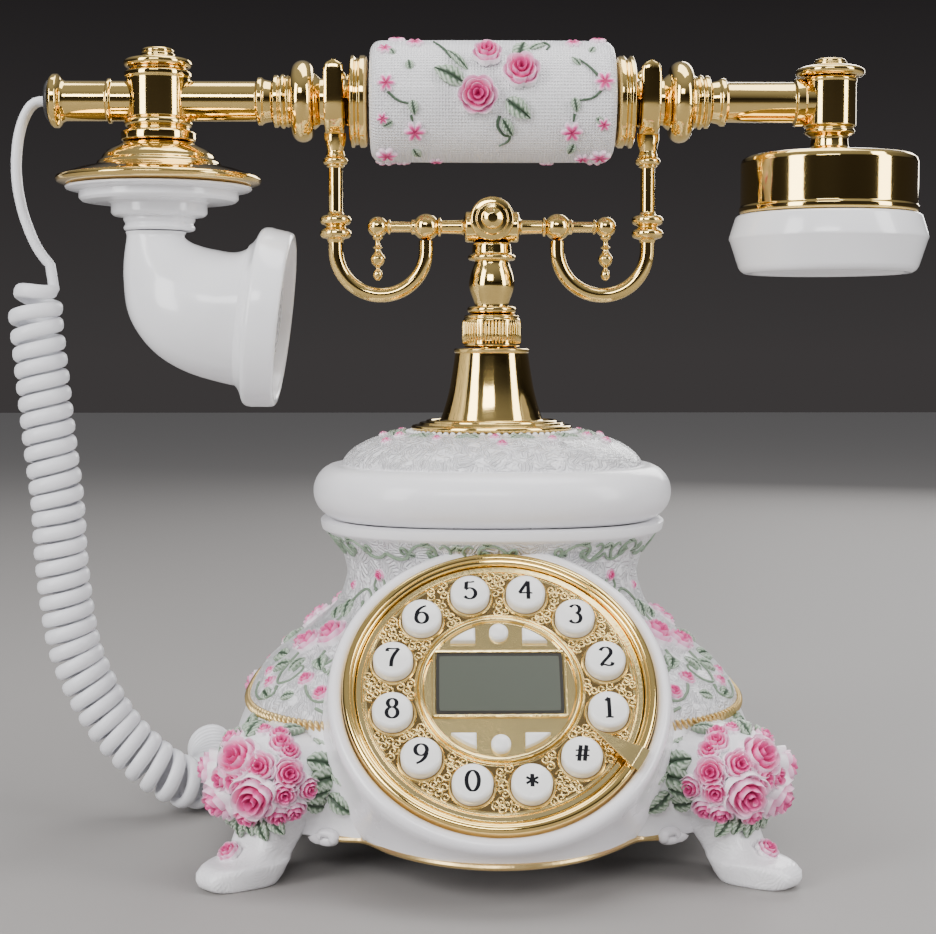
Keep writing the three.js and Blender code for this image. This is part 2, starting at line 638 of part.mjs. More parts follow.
// A push key: a domed cap with a flange that keeps it behind the plate.
function keyProfile(r, proud) {
  return [
    [0, -KEY_DEPTH], [r - 1, -KEY_DEPTH], [r + 0.7, -KEY_DEPTH + 1], [r + 0.7, plateBack - GAP],
    [r, plateBack - GAP], [r, proud - 1.3], [r * 0.72, proud - 0.35], [0, proud],
  ];
}
for (const [label, angle] of keyAngles) {
  const [x, y] = polar(KEY_PITCH_R, angle);
  add(`key_${label}`, turned(keyProfile(KEY_R, KEY_PROUD), 12), ivory, dial)
    .position.set(x, y, 0);
}
for (const [name, y] of dots) {
  add(name, turned(keyProfile(DOT_KEY_R, 2.4), 10), ivory, dial).position.y = y;
}
for (const [name, signX, signY] of wedges) {
  add(name, extruded(wedge(signX, signY, 0), KEY_DEPTH + 2, -KEY_DEPTH), ivory, dial);
}

const windowBack = -KEY_DEPTH + 1.5;
add('display_window', box(WINDOW_WIDTH, WINDOW_HEIGHT, 0.4 - windowBack, 0, WINDOW_LIFT,
  (0.4 + windowBack) / 2), glass, dial);
const moduleDepth = windowBack - GAP - (boardFront + GAP);
add('display_module', box(WINDOW_WIDTH - 1, WINDOW_HEIGHT - 1, moduleDepth, 0, WINDOW_LIFT,
  windowBack - GAP - moduleDepth / 2), black, dial);
const boardR = (BEZEL_R + GAP) * Math.cos(Math.PI / FINE) - GAP / 4; // inside the recess's flats
add('key_board', rod(boardR, boardBack, boardFront, 24), board, dial);

// The finger stop is only an ornament: it stands on the plate and laps over the bezel.
function fingerStop() {
  const tip = new THREE.Vector2(...polar(STOP_TIP_R, 119));
  const tongue = new THREE.Shape([
    tip, new THREE.Vector2(...polar(STOP_END_R, 116.9)),
    new THREE.Vector2(...polar(STOP_END_R, 125.7)),
  ]);
  const top = extruded(tongue, 1, BEZEL_PROUD + GAP);
  const foot = solid(extruded(tongue, BEZEL_PROUD + 1, GAP))
    .intersect(solid(rod(BEZEL_INNER_R - GAP, 0, 10, FINE)));
  return join(solid(top), foot);
}
add('finger_stop', fingerStop(), gold, dial);

// ---------------------------------------------------------------- handset, middle
add('grip_sleeve', turnedX([
  [TUBE_BORE_R, -GRIP_HALF], [GRIP_R - 2, -GRIP_HALF], [GRIP_R - 0.5, -GRIP_HALF + 1],
  [GRIP_R, -GRIP_HALF + 2.5], [GRIP_R, GRIP_HALF - 2.5], [GRIP_R - 0.5, GRIP_HALF - 1],
  [GRIP_R - 2, GRIP_HALF], [TUBE_BORE_R, GRIP_HALF], [TUBE_BORE_R, -GRIP_HALF],
], FINE), ivory, handset);

const ferruleX = GRIP_HALF + GAP;
const neckX = HOOK_X - YOKE_WIDTH / 2 - 1.6;
const neckBallX = 57.8;
function neck(name, side) {
  const shape = turnedX([
    [TUBE_BORE_R, ferruleX], [FERRULE_R, ferruleX], [FERRULE_R, neckX - 0.8],
    [FERRULE_R - 1, neckX], [NECK_R, neckX + 0.8], [NECK_R, neckBallX - 3.6],
    ...ball(NECK_BALL_R, 0, 5, 0.9, Math.PI - 0.9).map(([r, z]) => [r, neckBallX + z * 0.45]),
    [8, neckBallX + 4.2], [8, NECK_END_X - 1], [7.2, NECK_END_X],
    [TUBE_BORE_R, NECK_END_X], [TUBE_BORE_R, ferruleX],
  ]);
  if (side < 0) shape.rotateZ(Math.PI);
  add(name, shape, gold, handset);
}
neck('neck_left', -1);
neck('neck_right', 1);

// ---------------------------------------------------------------- handset, mouthpiece side
const tubeStart = NECK_END_X + GAP;
add('tube_left', turnedX([
  [TUBE_BORE_R, FLARE_X], [FLARE_R, FLARE_X], [FLARE_R, FLARE_X + 2.6],
  [TUBE_R, FLARE_X + 3.6], [TUBE_R, -tubeStart], [TUBE_BORE_R, -tubeStart],
  [TUBE_BORE_R, FLARE_X],
]), gold, handset);
add('cord_grommet', turnedX([
  [0, FLARE_X - 1.7], [5, FLARE_X - 1.7], [6.4, FLARE_X - 0.9], [6.4, FLARE_X - GAP],
  [TUBE_BORE_R - GAP, FLARE_X - GAP], [TUBE_BORE_R - GAP, FLARE_X + 6], [0, FLARE_X + 6],
], 14), black, handset);

const crossBore = solid(rodX(TUBE_R + GAP, -60, 60));
const barrelTop = 9;
add('fitting_left', cut(solid(turned([
  [0, -12.5], [11.4, -12.5], [11.4, -9.2], [10, -8.7], [10.2, -8.3], [10.2, -5.5],
  [MOUTH_BARREL_R, -5], [MOUTH_BARREL_R, barrelTop], [0, barrelTop],
])), crossBore), gold, mouth);
add('finial_left', turned([
  [0, barrelTop + GAP], [9.8, barrelTop + GAP], [10.4, barrelTop + 1.8],
  [9.6, barrelTop + 4], [5.2, barrelTop + 4.2], [5, barrelTop + 6.2], [0, barrelTop + 7.2],
]), gold, mouth);
const flangeZ = -12.5 - GAP;
const flangeRimZ = -23.4;
add('mouth_flange', turned([
  [0, flangeRimZ - 2.3], [FLANGE_R - 3, flangeRimZ - 2.3], [FLANGE_R - 0.4, flangeRimZ - 1.6],
  [FLANGE_R, flangeRimZ - 0.4], [FLANGE_R - 1, flangeRimZ + 0.7], [24, -20.6], [18.4, -18.6],
  [16.4, -16.6], [13.4, -14.4], [11.2, flangeZ], [0, flangeZ],
], FINE), gold, mouth);
const collarZ = flangeRimZ - 2.3 - GAP;
add('mouth_collar', turned([
  [0, -39.5], [10.4, -39.5], [10.9, -35.2], [14.4, -35], [14.6, -31.4], [24, -30.6],
  [24.2, -27.6], [28.3, -27.2], [28.3, collarZ], [0, collarZ],
], FINE), pearl, mouth);

// Sections of the swan neck: [x, z, radius, degrees that the axis has turned from down to +X].
const hornSections = [
  [-1.1, -39.8, 9.4, 0], [-1.1, -42, 9, 0], [0.6, -49.1, 12.7, 24], [4, -55.5, 16.8, 38],
  [9.8, -60.7, 19.5, 49], [15.1, -63.5, 20.8, 60], [22.3, -65, 21.8, 76],
  [25.7, -65.9, 24.4, 82], [26.5, -67, 27.6, 83], [35.5, -68.1, 26.9, 83],
];
function hornRing([x, z, r, degrees], shrink, along, segments) {
  const t = THREE.MathUtils.degToRad(degrees);
  const ahead = new THREE.Vector3(Math.sin(t), 0, -Math.cos(t));
  const side = new THREE.Vector3(Math.cos(t), 0, Math.sin(t));
  const centre = new THREE.Vector3(x, 0, z).addScaledVector(ahead, along);
  return Array.from({ length: segments }, (_, i) => {
    const a = (2 * Math.PI * i) / segments;
    return centre.clone().addScaledVector(side, (r - shrink) * Math.cos(a))
      .add(new THREE.Vector3(0, (r - shrink) * Math.sin(a), 0));
  });
}
const hornOuter = skin(hornSections.map((s) => hornRing(s, 0, 0, ROUND)));
const hornInner = skin([
  ...hornSections.slice(2).map((s) => hornRing(s, HORN_WALL, 0, ROUND)),
  hornRing(hornSections.at(-1), HORN_WALL, 12, ROUND),
]);
add('mouth_horn', cut(solid(hornOuter), solid(hornInner)), pearl, mouth);

// Pieces that sit in the horn's mouth are turned about its axis.
function inMouth(geometry) {
  const [x, z, , degrees] = hornSections.at(-1);
  return geometry.rotateY(THREE.MathUtils.degToRad(180 - degrees)).translate(x, 0, z);
}
const facetLoss = Math.cos(Math.PI / ROUND); // a faceted circle's flats lie inside its corners
const mouthR = (hornSections.at(-1)[2] - HORN_WALL) * facetLoss - GAP;
add('mouth_grille', inMouth(turned([
  [0, -1.5], [mouthR, -4], [mouthR, -1.6], [mouthR * 0.6, 0.8], [0, 2],
], ROUND)), pearl, mouth);
add('microphone', inMouth(rod(5, -10, -3.4, 12)), black, mouth);

// ---------------------------------------------------------------- handset, ear side
add('tube_right', turnedX([
  [TUBE_BORE_R, tubeStart], [TUBE_R, tubeStart], [TUBE_R, EAR_X - GAP],
  [TUBE_BORE_R, EAR_X - GAP], [TUBE_BORE_R, tubeStart],
]), gold, handset);
const blindBore = solid(rodX(TUBE_R + GAP, -60, 0));
const cupTop = -16.3;
add('fitting_right', cut(solid(turned([
  [0, cupTop + GAP], [6.8, cupTop + GAP], [6.6, cupTop + 2], [5.8, cupTop + 4],
  [5.8, -10], [7.6, -9.4], [7.6, -8.2], [EAR_BARREL_R, -7.6], [EAR_BARREL_R, 7.4], [0, 7.4],
])), blindBore), gold, ear);
add('finial_right', turned([
  [0, 7.4 + GAP], [9.6, 7.4 + GAP], [10.5, 9], [9.8, 11], [5.2, 11.3], [5, 12.6], [0, 13.4],
]), gold, ear);
const cupWall = 1.6;
const cupBottom = cupTop - EAR_CUP_HEIGHT;
add('ear_cup', turned([
  [0, cupTop - cupWall], [EAR_CUP_R - cupWall, cupTop - cupWall - 0.8],
  [EAR_CUP_R - cupWall, cupBottom], [EAR_CUP_R, cupBottom], [EAR_CUP_R, cupTop - 1.4],
  [EAR_CUP_R - 1.4, cupTop - 0.2], [0, cupTop],
], FINE), gold, ear);
const capTop = cupBottom - GAP;
const capBottom = capTop - EAR_CAP_HEIGHT;
const soundHoles = [0, 60, 120, 180, 240, 300].map((angle) => {
  const [x, y] = polar(9, angle);
  return solid(rod(1.6, capBottom, capTop, 8).translate(x, y, 0));
});
add('ear_cap', cut(solid(turned([
  [0, capBottom + 4.6], [14, capBottom + 3.6], [EAR_CUP_R - 4, capBottom + 0.3],
  [EAR_CUP_R - 1, capBottom], [EAR_CUP_R + 0.4, capBottom + 1.2], [EAR_CAP_R, capTop - 7.2],
  [EAR_CAP_R - 0.4, capTop - 5.8], [EAR_CUP_R + 1.2, capTop], [EAR_CUP_R - 3, capTop],
  [EAR_CUP_R - 3, capTop - 11], [0, capTop - 11],
], FINE)), ...soundHoles), pearl, ear);
add('receiver_capsule', rod(EAR_CUP_R - 5, capTop - 10.5, capTop + 5), black, ear);

// ---------------------------------------------------------------- cord, on hand-chosen points
const leadStart = FLARE_X - 1.7 - 2 * GAP;
const leadPoints = [
  [leadStart, 0, handsetZ], [-138.6, 0, 218.7], [-141.2, 0, 216.8], [-143.3, 0, 212.8], [-144.8, 0, 207.2],
  [-145.5, 0, 199.6], [-145, 0, 191.7], [-143, 0, 183], [-139.4, 0, 174.3], [-134.6, 0, 167.8],
];
add('cord_lead', tube(leadPoints, CORD_R, 8, 14), vinyl);
const coilPoints = [
  [-138.7, 0, 162.4], [-140.3, 0, 155.5], [-139.3, 0, 143.1], [-137.8, 0, 127.6],
  [-136.2, 0, 112.1], [-134.4, 0, 96.6], [-133.4, 0, 78], [-131.3, 0, 59.5],
  [-128.8, 0, 48], [-123.8, 0, 36.5], [-117.3, 0, 25.6], [-109.3, 0, 16.9],
  [-102, 1, 10.8], [-95.5, 5, 6.8], [-91.5, 13, 5.6], [-90.5, 24, 5.5], [-91.5, 40, 5.5],
  [-94, 54, 5.5], [-96, 66, 5.5],
];
add('cord_coil', tube(coilPoints, COIL_R, 9, 26), vinyl);
const plugEnd = SOCKET_Y + PLUG_SHOWS;
const tailPoints = [
  [-96.6, 66.6, 5.5], [-98, 77, 3.3], [-96.5, 89, 0.7], [-89, 101, -0.6], [-75, 108.6, -0.8],
  [-58, 108.4, 0.4], [-45.6, 102.4, 5.4], [-38, 94, 13], [-35.2, 86, 19],
  [-SOCKET_X, plugEnd + 2 * GAP, SOCKET_Z],
];
add('cord_tail', tube(tailPoints, CORD_R, 8, 16), vinyl);
add('cord_plug', box(PLUG_WIDTH, PLUG_LENGTH, PLUG_HEIGHT, -SOCKET_X, plugEnd - PLUG_LENGTH / 2,
  SOCKET_Z), glass);

// ---------------------------------------------------------------- origin under the middle
const cordNames = ['cord_lead', 'cord_coil', 'cord_tail', 'cord_plug', 'cord_grommet'];
telephone.updateMatrixWorld(true);
const extent = new THREE.Box3();
telephone.traverse((piece) => {
  if (piece.isMesh && !cordNames.includes(piece.name)) extent.expandByObject(piece, true);
});
const middle = extent.getCenter(new THREE.Vector3());
telephone.position.set(-middle.x, -middle.y, -extent.min.z);

export default telephone;
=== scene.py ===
# %% [markdown]
# # An ornate table telephone
# The real telephone is a cast resin base painted with roses, a gilded cradle on a column, and a
# long handset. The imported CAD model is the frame: it says where each piece is and how it moves.
# This lesson makes the visible surface of each piece round that frame, one kind of piece at a time.

# %% Load the frame
import math
import random
from math import atan2, cos, pi, radians, sin, sqrt

import bmesh
import bpy
import numpy as np
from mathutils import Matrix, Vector


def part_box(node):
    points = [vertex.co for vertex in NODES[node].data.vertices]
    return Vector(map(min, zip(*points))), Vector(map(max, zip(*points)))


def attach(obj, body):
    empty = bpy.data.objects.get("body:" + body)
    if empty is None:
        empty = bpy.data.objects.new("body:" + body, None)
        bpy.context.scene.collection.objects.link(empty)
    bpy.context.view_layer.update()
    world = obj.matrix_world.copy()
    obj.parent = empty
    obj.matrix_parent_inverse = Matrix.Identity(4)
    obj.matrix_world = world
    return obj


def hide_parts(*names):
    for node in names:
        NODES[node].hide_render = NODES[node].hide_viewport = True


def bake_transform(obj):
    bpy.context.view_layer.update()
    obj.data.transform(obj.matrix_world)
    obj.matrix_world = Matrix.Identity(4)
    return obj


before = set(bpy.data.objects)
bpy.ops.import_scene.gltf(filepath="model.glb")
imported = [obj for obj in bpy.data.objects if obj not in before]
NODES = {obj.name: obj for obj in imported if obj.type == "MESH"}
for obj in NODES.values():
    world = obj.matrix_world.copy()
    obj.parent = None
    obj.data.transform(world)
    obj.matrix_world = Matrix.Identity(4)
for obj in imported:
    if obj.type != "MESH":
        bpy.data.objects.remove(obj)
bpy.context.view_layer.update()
MM = 0.001
AXIS_Z = 219  # the handset's axis above the foot of the column
nut_low, nut_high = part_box("knurled_nut")
grip_low, grip_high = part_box("grip_sleeve")
COLUMN = Vector(((nut_low.x + nut_high.x) / 2, (nut_low.y + nut_high.y) / 2,
                 (grip_low.z + grip_high.z) / 2 - AXIS_Z * MM))


def limits(name):
    """A node's lowest and highest corners, in millimetres from the foot of the column."""
    low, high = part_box(name)
    return np.array((low - COLUMN) / MM), np.array((high - COLUMN) / MM)


def whole_turn(count):
    """So many angles, evenly round a circle."""
    return np.linspace(0, 2 * pi, count, endpoint=False)


def preset(made, values):
    """Sets the named inputs of a node."""
    for key, value in values.items():
        made.inputs[key].default_value = value


def wire(tree, *joins):
    """Each join is a node, the name or number of its output, the next node and its input."""
    for source, output, target, entry in joins:
        tree.links.new(source.outputs[output], target.inputs[entry])


nut_low, nut_high = limits("knurled_nut")
print("frame:", len(NODES), "nodes, column at", [round(v, 5) for v in COLUMN])

# %% [markdown]
# ## Camera, floor and light
# The camera stands in front of the dial, a little above the middle of the telephone. A large soft
# box on each side and one overhead give white resin its gentle shading, and the gaps between the
# boxes are what draws dark bands down the polished gold.

# %% Camera, floor and lights
CAMERA_DISTANCE = 0.560
CAMERA_HEIGHT = 0.1416
CAMERA_TURN = radians(-1)
CAMERA_SHIFT = -0.0073
CAMERA_PITCH = radians(3.55)
LENS = 69.5


def make_camera():
    data = bpy.data.cameras.new("camera")
    data.lens = LENS
    data.sensor_width = 36
    data.clip_start, data.clip_end = 0.02, 20
    camera = bpy.data.objects.new("camera", data)
    right = Vector((cos(CAMERA_TURN), sin(CAMERA_TURN), 0))
    back = Vector((sin(CAMERA_TURN), -cos(CAMERA_TURN), 0))
    camera.location = COLUMN + back * CAMERA_DISTANCE + right * CAMERA_SHIFT
    camera.location.z = COLUMN.z + CAMERA_HEIGHT
    camera.rotation_euler = (pi / 2 - CAMERA_PITCH, 0, CAMERA_TURN)
    bpy.context.scene.collection.objects.link(camera)
    bpy.context.scene.camera = camera


def soft_box(name, place, aim, size, power):
    data = bpy.data.lights.new(name, "AREA")
    data.shape = "RECTANGLE"
    data.size, data.size_y = size
    data.energy = power
    light = bpy.data.objects.new(name, data)
    light.location = place
    light.rotation_euler = (Vector(aim) - Vector(place)).to_track_quat("-Z", "Y").to_euler()
    bpy.context.scene.collection.objects.link(light)


def make_stage():
    floor = bpy.data.meshes.new("floor")
    span = 4
    floor.from_pydata([(-span, -span, 0), (span, -span, 0), (span, span, 0), (-span, span, 0)],
                      [], [(0, 1, 2, 3)])
    board = bpy.data.objects.new("floor", floor)
    material = bpy.data.materials.new("plain_floor")
    material.use_nodes = True
    material.node_tree.nodes["Principled BSDF"].inputs["Base Color"].default_value = (
        0.30, 0.285, 0.275, 1)
    material.node_tree.nodes["Principled BSDF"].inputs["Roughness"].default_value = 0.7
    floor.materials.append(material)
    bpy.context.scene.collection.objects.link(board)
    world = bpy.data.worlds.new("studio")
    world.use_nodes = True
    tree = world.node_tree
    place = tree.nodes.new("ShaderNodeTexCoord")
    split = tree.nodes.new("ShaderNodeSeparateXYZ")
    ramp = tree.nodes.new("ShaderNodeValToRGB")
    wire(tree, (place, "Generated", split, 0), (split, "Z", ramp, "Fac"))
    tree.links.new(ramp.outputs["Color"], tree.nodes["Background"].inputs["Color"])
    ramp.color_ramp.elements[0].position = 0.0
    ramp.color_ramp.elements[0].color = (0.12, 0.11, 0.11, 1)
    ramp.color_ramp.elements[1].position = 0.8
    ramp.color_ramp.elements[1].color = (0.95, 0.96, 1.0, 1)
    middle = ramp.color_ramp.elements.new(0.25)
    middle.color = (0.025, 0.022, 0.024, 1)
    tree.nodes["Background"].inputs["Strength"].default_value = 0.42
    bpy.context.scene.world = world


make_camera()
make_stage()
AIM = (0, 0, 0.12)
soft_box("left box", (-0.95, -0.75, 0.55), AIM, (0.45, 1.0), 15)
soft_box("right box", (1.0, -0.45, 0.5), AIM, (0.35, 0.9), 9)
soft_box("front box", (-0.25, -1.5, 0.9), AIM, (0.8, 0.35), 11)
soft_box("top box", (0.1, 0.1, 1.1), AIM, (0.9, 0.6), 9)
soft_box("rear box", (0.5, 1.2, 0.6), AIM, (0.5, 0.6), 6)

# %% [markdown]
# ## From a profile to a mesh
# Nearly everything on this telephone was turned, cast or bent, so nearly every piece is a grid of
# rings: a turned piece repeats its profile round an axis, a casting stacks rounded squares, and a
# tube carries a circle along a path. One function turns any grid of rings into a clean closed mesh,
# with UVs in millimetres for the finishes that follow the surface. Real edges are never razor
# sharp, so a small fillet is put on each corner of a profile before it is turned.

# %% Rings, profiles and the mesh they make


def polished(mesh, sharp=35):
    """Merges doubled points, points the faces outwards and smooths all but the sharp edges."""
    work = bmesh.new()
    work.from_mesh(mesh)
    bmesh.ops.remove_doubles(work, verts=work.verts, dist=2e-6)
    bmesh.ops.dissolve_degenerate(work, edges=work.edges, dist=1e-7)
    bmesh.ops.recalc_face_normals(work, faces=work.faces)
    work.to_mesh(mesh)
    work.free()
    mesh.shade_smooth()
    mesh.set_sharp_from_angle(angle=radians(sharp))
    return mesh


def grid(rings, around=True, capped=True):
    """Points, faces and UVs of a skin over rings, an array [ring, point, xyz] in millimetres."""
    rings = np.asarray(rings, float)
    count, width = rings.shape[:2]
    points = rings.reshape(-1, 3)
    across = np.linalg.norm(np.roll(rings, -1, 1) - rings, axis=2).mean(0).cumsum()
    along = np.concatenate([[0], np.linalg.norm(
        rings[1:] - rings[:-1], axis=2).mean(1).cumsum()])
    across = np.concatenate([[0], across])
    faces, uvs = [], []
    for k in range(count - 1):
        for i in range(width if around else width - 1):
            j = (i + 1) % width
            faces.append((k * width + i, k * width + j, (k + 1) * width + j, (k + 1) * width + i))
            u0, u1, v0, v1 = across[i], across[i + 1], along[k], along[k + 1]
            uvs.append(((u0, v0), (u1, v0), (u1, v1), (u0, v1)))
    if capped and around:
        for k in (0, count - 1):
            if np.ptp(rings[k], axis=0).max() > 1e-4:
                faces.append(tuple(range(k * width, (k + 1) * width)))
                uvs.append(tuple((0, 0) for _ in range(width)))
    return points, faces, uvs


class Shape:
    """Parts of one piece, gathered before its mesh is made; each part has a finish of its own."""

    def __init__(self):
        self.points, self.faces, self.uvs, self.finish, self.tint = [], [], [], [], []
        self.finishes = []

    def add(self, part, material, place=None, tint=0.0):
        points, faces, uvs = part
        points = np.asarray(points, float)
        if place is not None:
            turn = np.array(place)
            points = points @ turn[:3, :3].T + turn[:3, 3]
        if material not in self.finishes:
            self.finishes.append(material)
        start = sum(len(p) for p in self.points)
        self.points.append(points)
        self.faces += [tuple(start + i for i in f) for f in faces]
        self.uvs += uvs
        self.finish += [self.finishes.index(material)] * len(faces)
        tint = np.broadcast_to(np.asarray(tint, float), (len(points),))
        self.tint.append(tint)
        return self

    def make(self, name, body, slot, nodes=(), sharp=35):
        mesh = bpy.data.meshes.new(name)
        points = np.concatenate(self.points) * MM + np.array(COLUMN)
        mesh.from_pydata(points.tolist(), [], self.faces)
        layer = mesh.uv_layers.new(name="UVMap")
        layer.data.foreach_set("uv", np.array([c for f in self.uvs for c in f]).ravel())
        tint = mesh.attributes.new("tint", "FLOAT", "POINT")
        tint.data.foreach_set("value", np.concatenate(self.tint).astype(np.float32))
        for material in self.finishes:
            mesh.materials.append(material)
        mesh.polygons.foreach_set("material_index", self.finish)
        polished(mesh, sharp)
        piece = bpy.data.objects.new(name, mesh)
        bpy.context.scene.collection.objects.link(piece)
        return settle(piece, body, nodes)


def settle(piece, body, nodes=()):
    """Rides a finished piece on its body and hides the CAD nodes it stands for."""
    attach(piece, body)
    if nodes:
        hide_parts(*([nodes] if isinstance(nodes, str) else nodes))
    return piece


def arc(across, up, radius, start, end, count=9):
    """Profile points of an arc, in degrees from straight out."""
    turns = np.radians(np.linspace(start, end, count))
    return [(across + radius * cos(t), up + radius * sin(t)) for t in turns]


def filleted(profile, radius=0.4, steps=4):
    """Rounds the corners of an open profile."""
    points = [np.array(p, float) for p in profile]
    out = [points[0]]
    for before, here, after in zip(points, points[1:], points[2:]):
        a, b = before - here, after - here
        la, lb = np.linalg.norm(a), np.linalg.norm(b)
        bend = math.degrees(math.acos(np.clip(-(a @ b) / max(la * lb, 1e-9), -1, 1)))
        if bend < 18 or min(la, lb) < 0.15:
            out.append(here)
            continue
        reach = min(radius, 0.45 * la, 0.45 * lb)
        start, end = here + a / la * reach, here + b / lb * reach
        for t in np.linspace(0, 1, steps + 1):
            out.append((1 - t) ** 2 * start + 2 * t * (1 - t) * here + t * t * end)
    out.append(points[-1])
    return out


def flowing(points, count):
    """A smooth curve through given points (Catmull-Rom), evenly sampled in its parameter."""
    p = np.asarray(points, float)
    p = np.vstack([2 * p[0] - p[1], p, 2 * p[-1] - p[-2]])
    spans = len(p) - 3
    out = []
    for s in np.linspace(0, spans, count):
        k = min(int(s), spans - 1)
        t = s - k
        a, b, c, d = p[k:k + 4]
        out.append(0.5 * (2 * b + (c - a) * t + (2 * a - 5 * b + 4 * c - d) * t ** 2
                          + (3 * b - a - 3 * c + d) * t ** 3))
    return np.array(out)


AXES = {  # where a turned profile's axis goes, and two directions across it
    "z": ((0, 0, 1), (1, 0, 0), (0, 1, 0)),
    "x": ((1, 0, 0), (0, 1, 0), (0, 0, 1)),
    "y": ((0, 1, 0), (0, 0, 1), (1, 0, 0)),
}


def turned(profile, axis="z", centre=(0, 0, 0), segments=72, fillet=0.4):
    """A turned part from (radius, height) points in millimetres."""
    along, side, other = (np.array(v, float) for v in AXES[axis])
    profile = filleted(profile, fillet) if fillet else profile
    turns = whole_turn(segments)
    around = np.cos(turns)[:, None] * side + np.sin(turns)[:, None] * other
    rings = [np.array(centre) + h * along + r * around for r, h in profile]
    return grid(rings, capped=False)


def swept(path, radius, sides=16, capped=True, flat=1.0, up=None):
    """A tube along path; flat squeezes it across, and up keeps its flat side facing one way."""
    path = np.asarray(path, float)
    radius = np.broadcast_to(radius, (len(path),))
    ahead = np.gradient(path, axis=0)
    ahead /= np.maximum(np.linalg.norm(ahead, axis=1), 1e-9)[:, None]
    side = np.cross(ahead[0], (0, 0, 1) if abs(ahead[0][2]) < 0.9 else (0, 1, 0))
    turns = whole_turn(sides)
    rings = []
    for p, t, r in zip(path, ahead, radius):
        side = np.cross(t, up) if up is not None else side - t * (side @ t)
        side /= np.linalg.norm(side)
        other = np.cross(t, side)
        rings.append(p + r * (np.cos(turns)[:, None] * side
                              + flat * np.sin(turns)[:, None] * other))
    return grid(rings, capped=capped)


def squircle(z, half, exponent, segments=160):
    """A ring of the rounded square |x|^e + |y|^e = half^e."""
    turns = whole_turn(segments)
    c, s = np.cos(turns), np.sin(turns)
    reach = half / (np.abs(c) ** exponent + np.abs(s) ** exponent) ** (1 / exponent)
    return np.column_stack([reach * c, reach * s, np.full(segments, z)])


# %% [markdown]
# ## Finishes
# Four families of finish cover the telephone: resin, gold, moulded plastic and painted relief.
# What they share - slightly uneven colour and a very fine unevenness of the surface - is a node
# group with its own scale and depth in each material. The stucco strokes and the woven grip are
# groups as well, because more than one piece wears them.

# %% Node groups


def new_group(name, inputs, outputs):
    tree = bpy.data.node_groups.new(name, "ShaderNodeTree")
    for label, kind, value in inputs:
        socket = tree.interface.new_socket(label, in_out="INPUT", socket_type=kind)
        socket.default_value = value
    for label, kind in outputs:
        tree.interface.new_socket(label, in_out="OUTPUT", socket_type=kind)
    return tree, tree.nodes.new("NodeGroupInput"), tree.nodes.new("NodeGroupOutput")


def node(tree, kind, **values):
    made = tree.nodes.new(kind)
    for key, value in values.items():
        if key in made.inputs:
            made.inputs[key].default_value = value
        else:
            setattr(made, key, value)
    return made


def uneven_group():
    """Colour that drifts a little between two tones, and a very shallow bump."""
    tree, given, result = new_group(
        "Uneven Surface",
        [("Colour", "NodeSocketColor", (1, 1, 1, 1)), ("Shade", "NodeSocketColor", (0, 0, 0, 1)),
         ("Scale", "NodeSocketFloat", 60.0), ("Fine Scale", "NodeSocketFloat", 900.0),
         ("Depth", "NodeSocketFloat", 0.1)],
        [("Colour", "NodeSocketColor"), ("Mask", "NodeSocketFloat"),
         ("Normal", "NodeSocketVector")])
    place = tree.nodes.new("ShaderNodeTexCoord")
    broad = node(tree, "ShaderNodeTexNoise", Detail=4.0)
    fine = node(tree, "ShaderNodeTexNoise", Detail=2.0)
    mix = node(tree, "ShaderNodeMix", data_type="RGBA")
    bump = node(tree, "ShaderNodeBump", Distance=0.0003)
    wire(tree, (place, "Object", broad, "Vector"), (place, "Object", fine, "Vector"),
         (given, "Scale", broad, "Scale"), (given, "Fine Scale", fine, "Scale"),
         (broad, "Fac", mix, "Factor"), (given, "Colour", mix, "A"), (given, "Shade", mix, "B"),
         (fine, "Fac", bump, "Height"), (given, "Depth", bump, "Strength"),
         (mix, "Result", result, "Colour"), (broad, "Fac", result, "Mask"),
         (bump, "Normal", result, "Normal"))
    return tree


UNEVEN = uneven_group()


def finish(name, colour, shade, roughness, metallic=0.0, coat=0.0, depth=0.1, scale=60.0,
           fine=900.0, **more):
    """A material whose colour and bump come from the Uneven Surface group."""
    material = bpy.data.materials.new(name)
    material.use_nodes = True
    tree = material.node_tree
    shader = tree.nodes["Principled BSDF"]
    preset(shader, {"Metallic": metallic, "Coat Weight": coat})
    for key, value in more.items():
        shader.inputs[key.replace("_", " ")].default_value = value
    group = tree.nodes.new("ShaderNodeGroup")
    group.name = "surface"
    group.node_tree = UNEVEN
    preset(group, {"Colour": (*colour, 1), "Shade": (*shade, 1), "Scale": scale,
                   "Fine Scale": fine, "Depth": depth})
    rough = node(tree, "ShaderNodeMapRange")
    rough.name = "roughness range"
    preset(rough, {"To Min": roughness * 0.8, "To Max": roughness * 1.25})
    wire(tree, (group, "Mask", rough, "Value"), (rough, "Result", shader, "Roughness"),
         (group, "Colour", shader, "Base Color"), (group, "Normal", shader, "Normal"))
    return material


RESIN = finish("pearl_resin", (0.93, 0.91, 0.94), (0.88, 0.86, 0.90), 0.28, coat=0.35, depth=0.1,
               scale=40, fine=500)
GLOSS = finish("white_gloss", (0.93, 0.93, 0.95), (0.90, 0.90, 0.93), 0.20, coat=0.4, depth=0.03)
GOLD = finish("polished_gold", (0.93, 0.68, 0.24), (0.89, 0.62, 0.20), 0.075, metallic=1.0,
              depth=0.02, scale=30)
PALE_GOLD = finish("embossed_gold", (0.94, 0.74, 0.34), (0.89, 0.67, 0.27), 0.17, metallic=1.0,
                   depth=0.12, scale=90)
IVORY = finish("key_ivory", (0.90, 0.89, 0.87), (0.86, 0.85, 0.83), 0.28, coat=0.2, depth=0.03)
INK = finish("numeral_ink", (0.004, 0.004, 0.006), (0.010, 0.010, 0.013), 0.6, depth=0.05,
             Specular_IOR_Level=0.1)
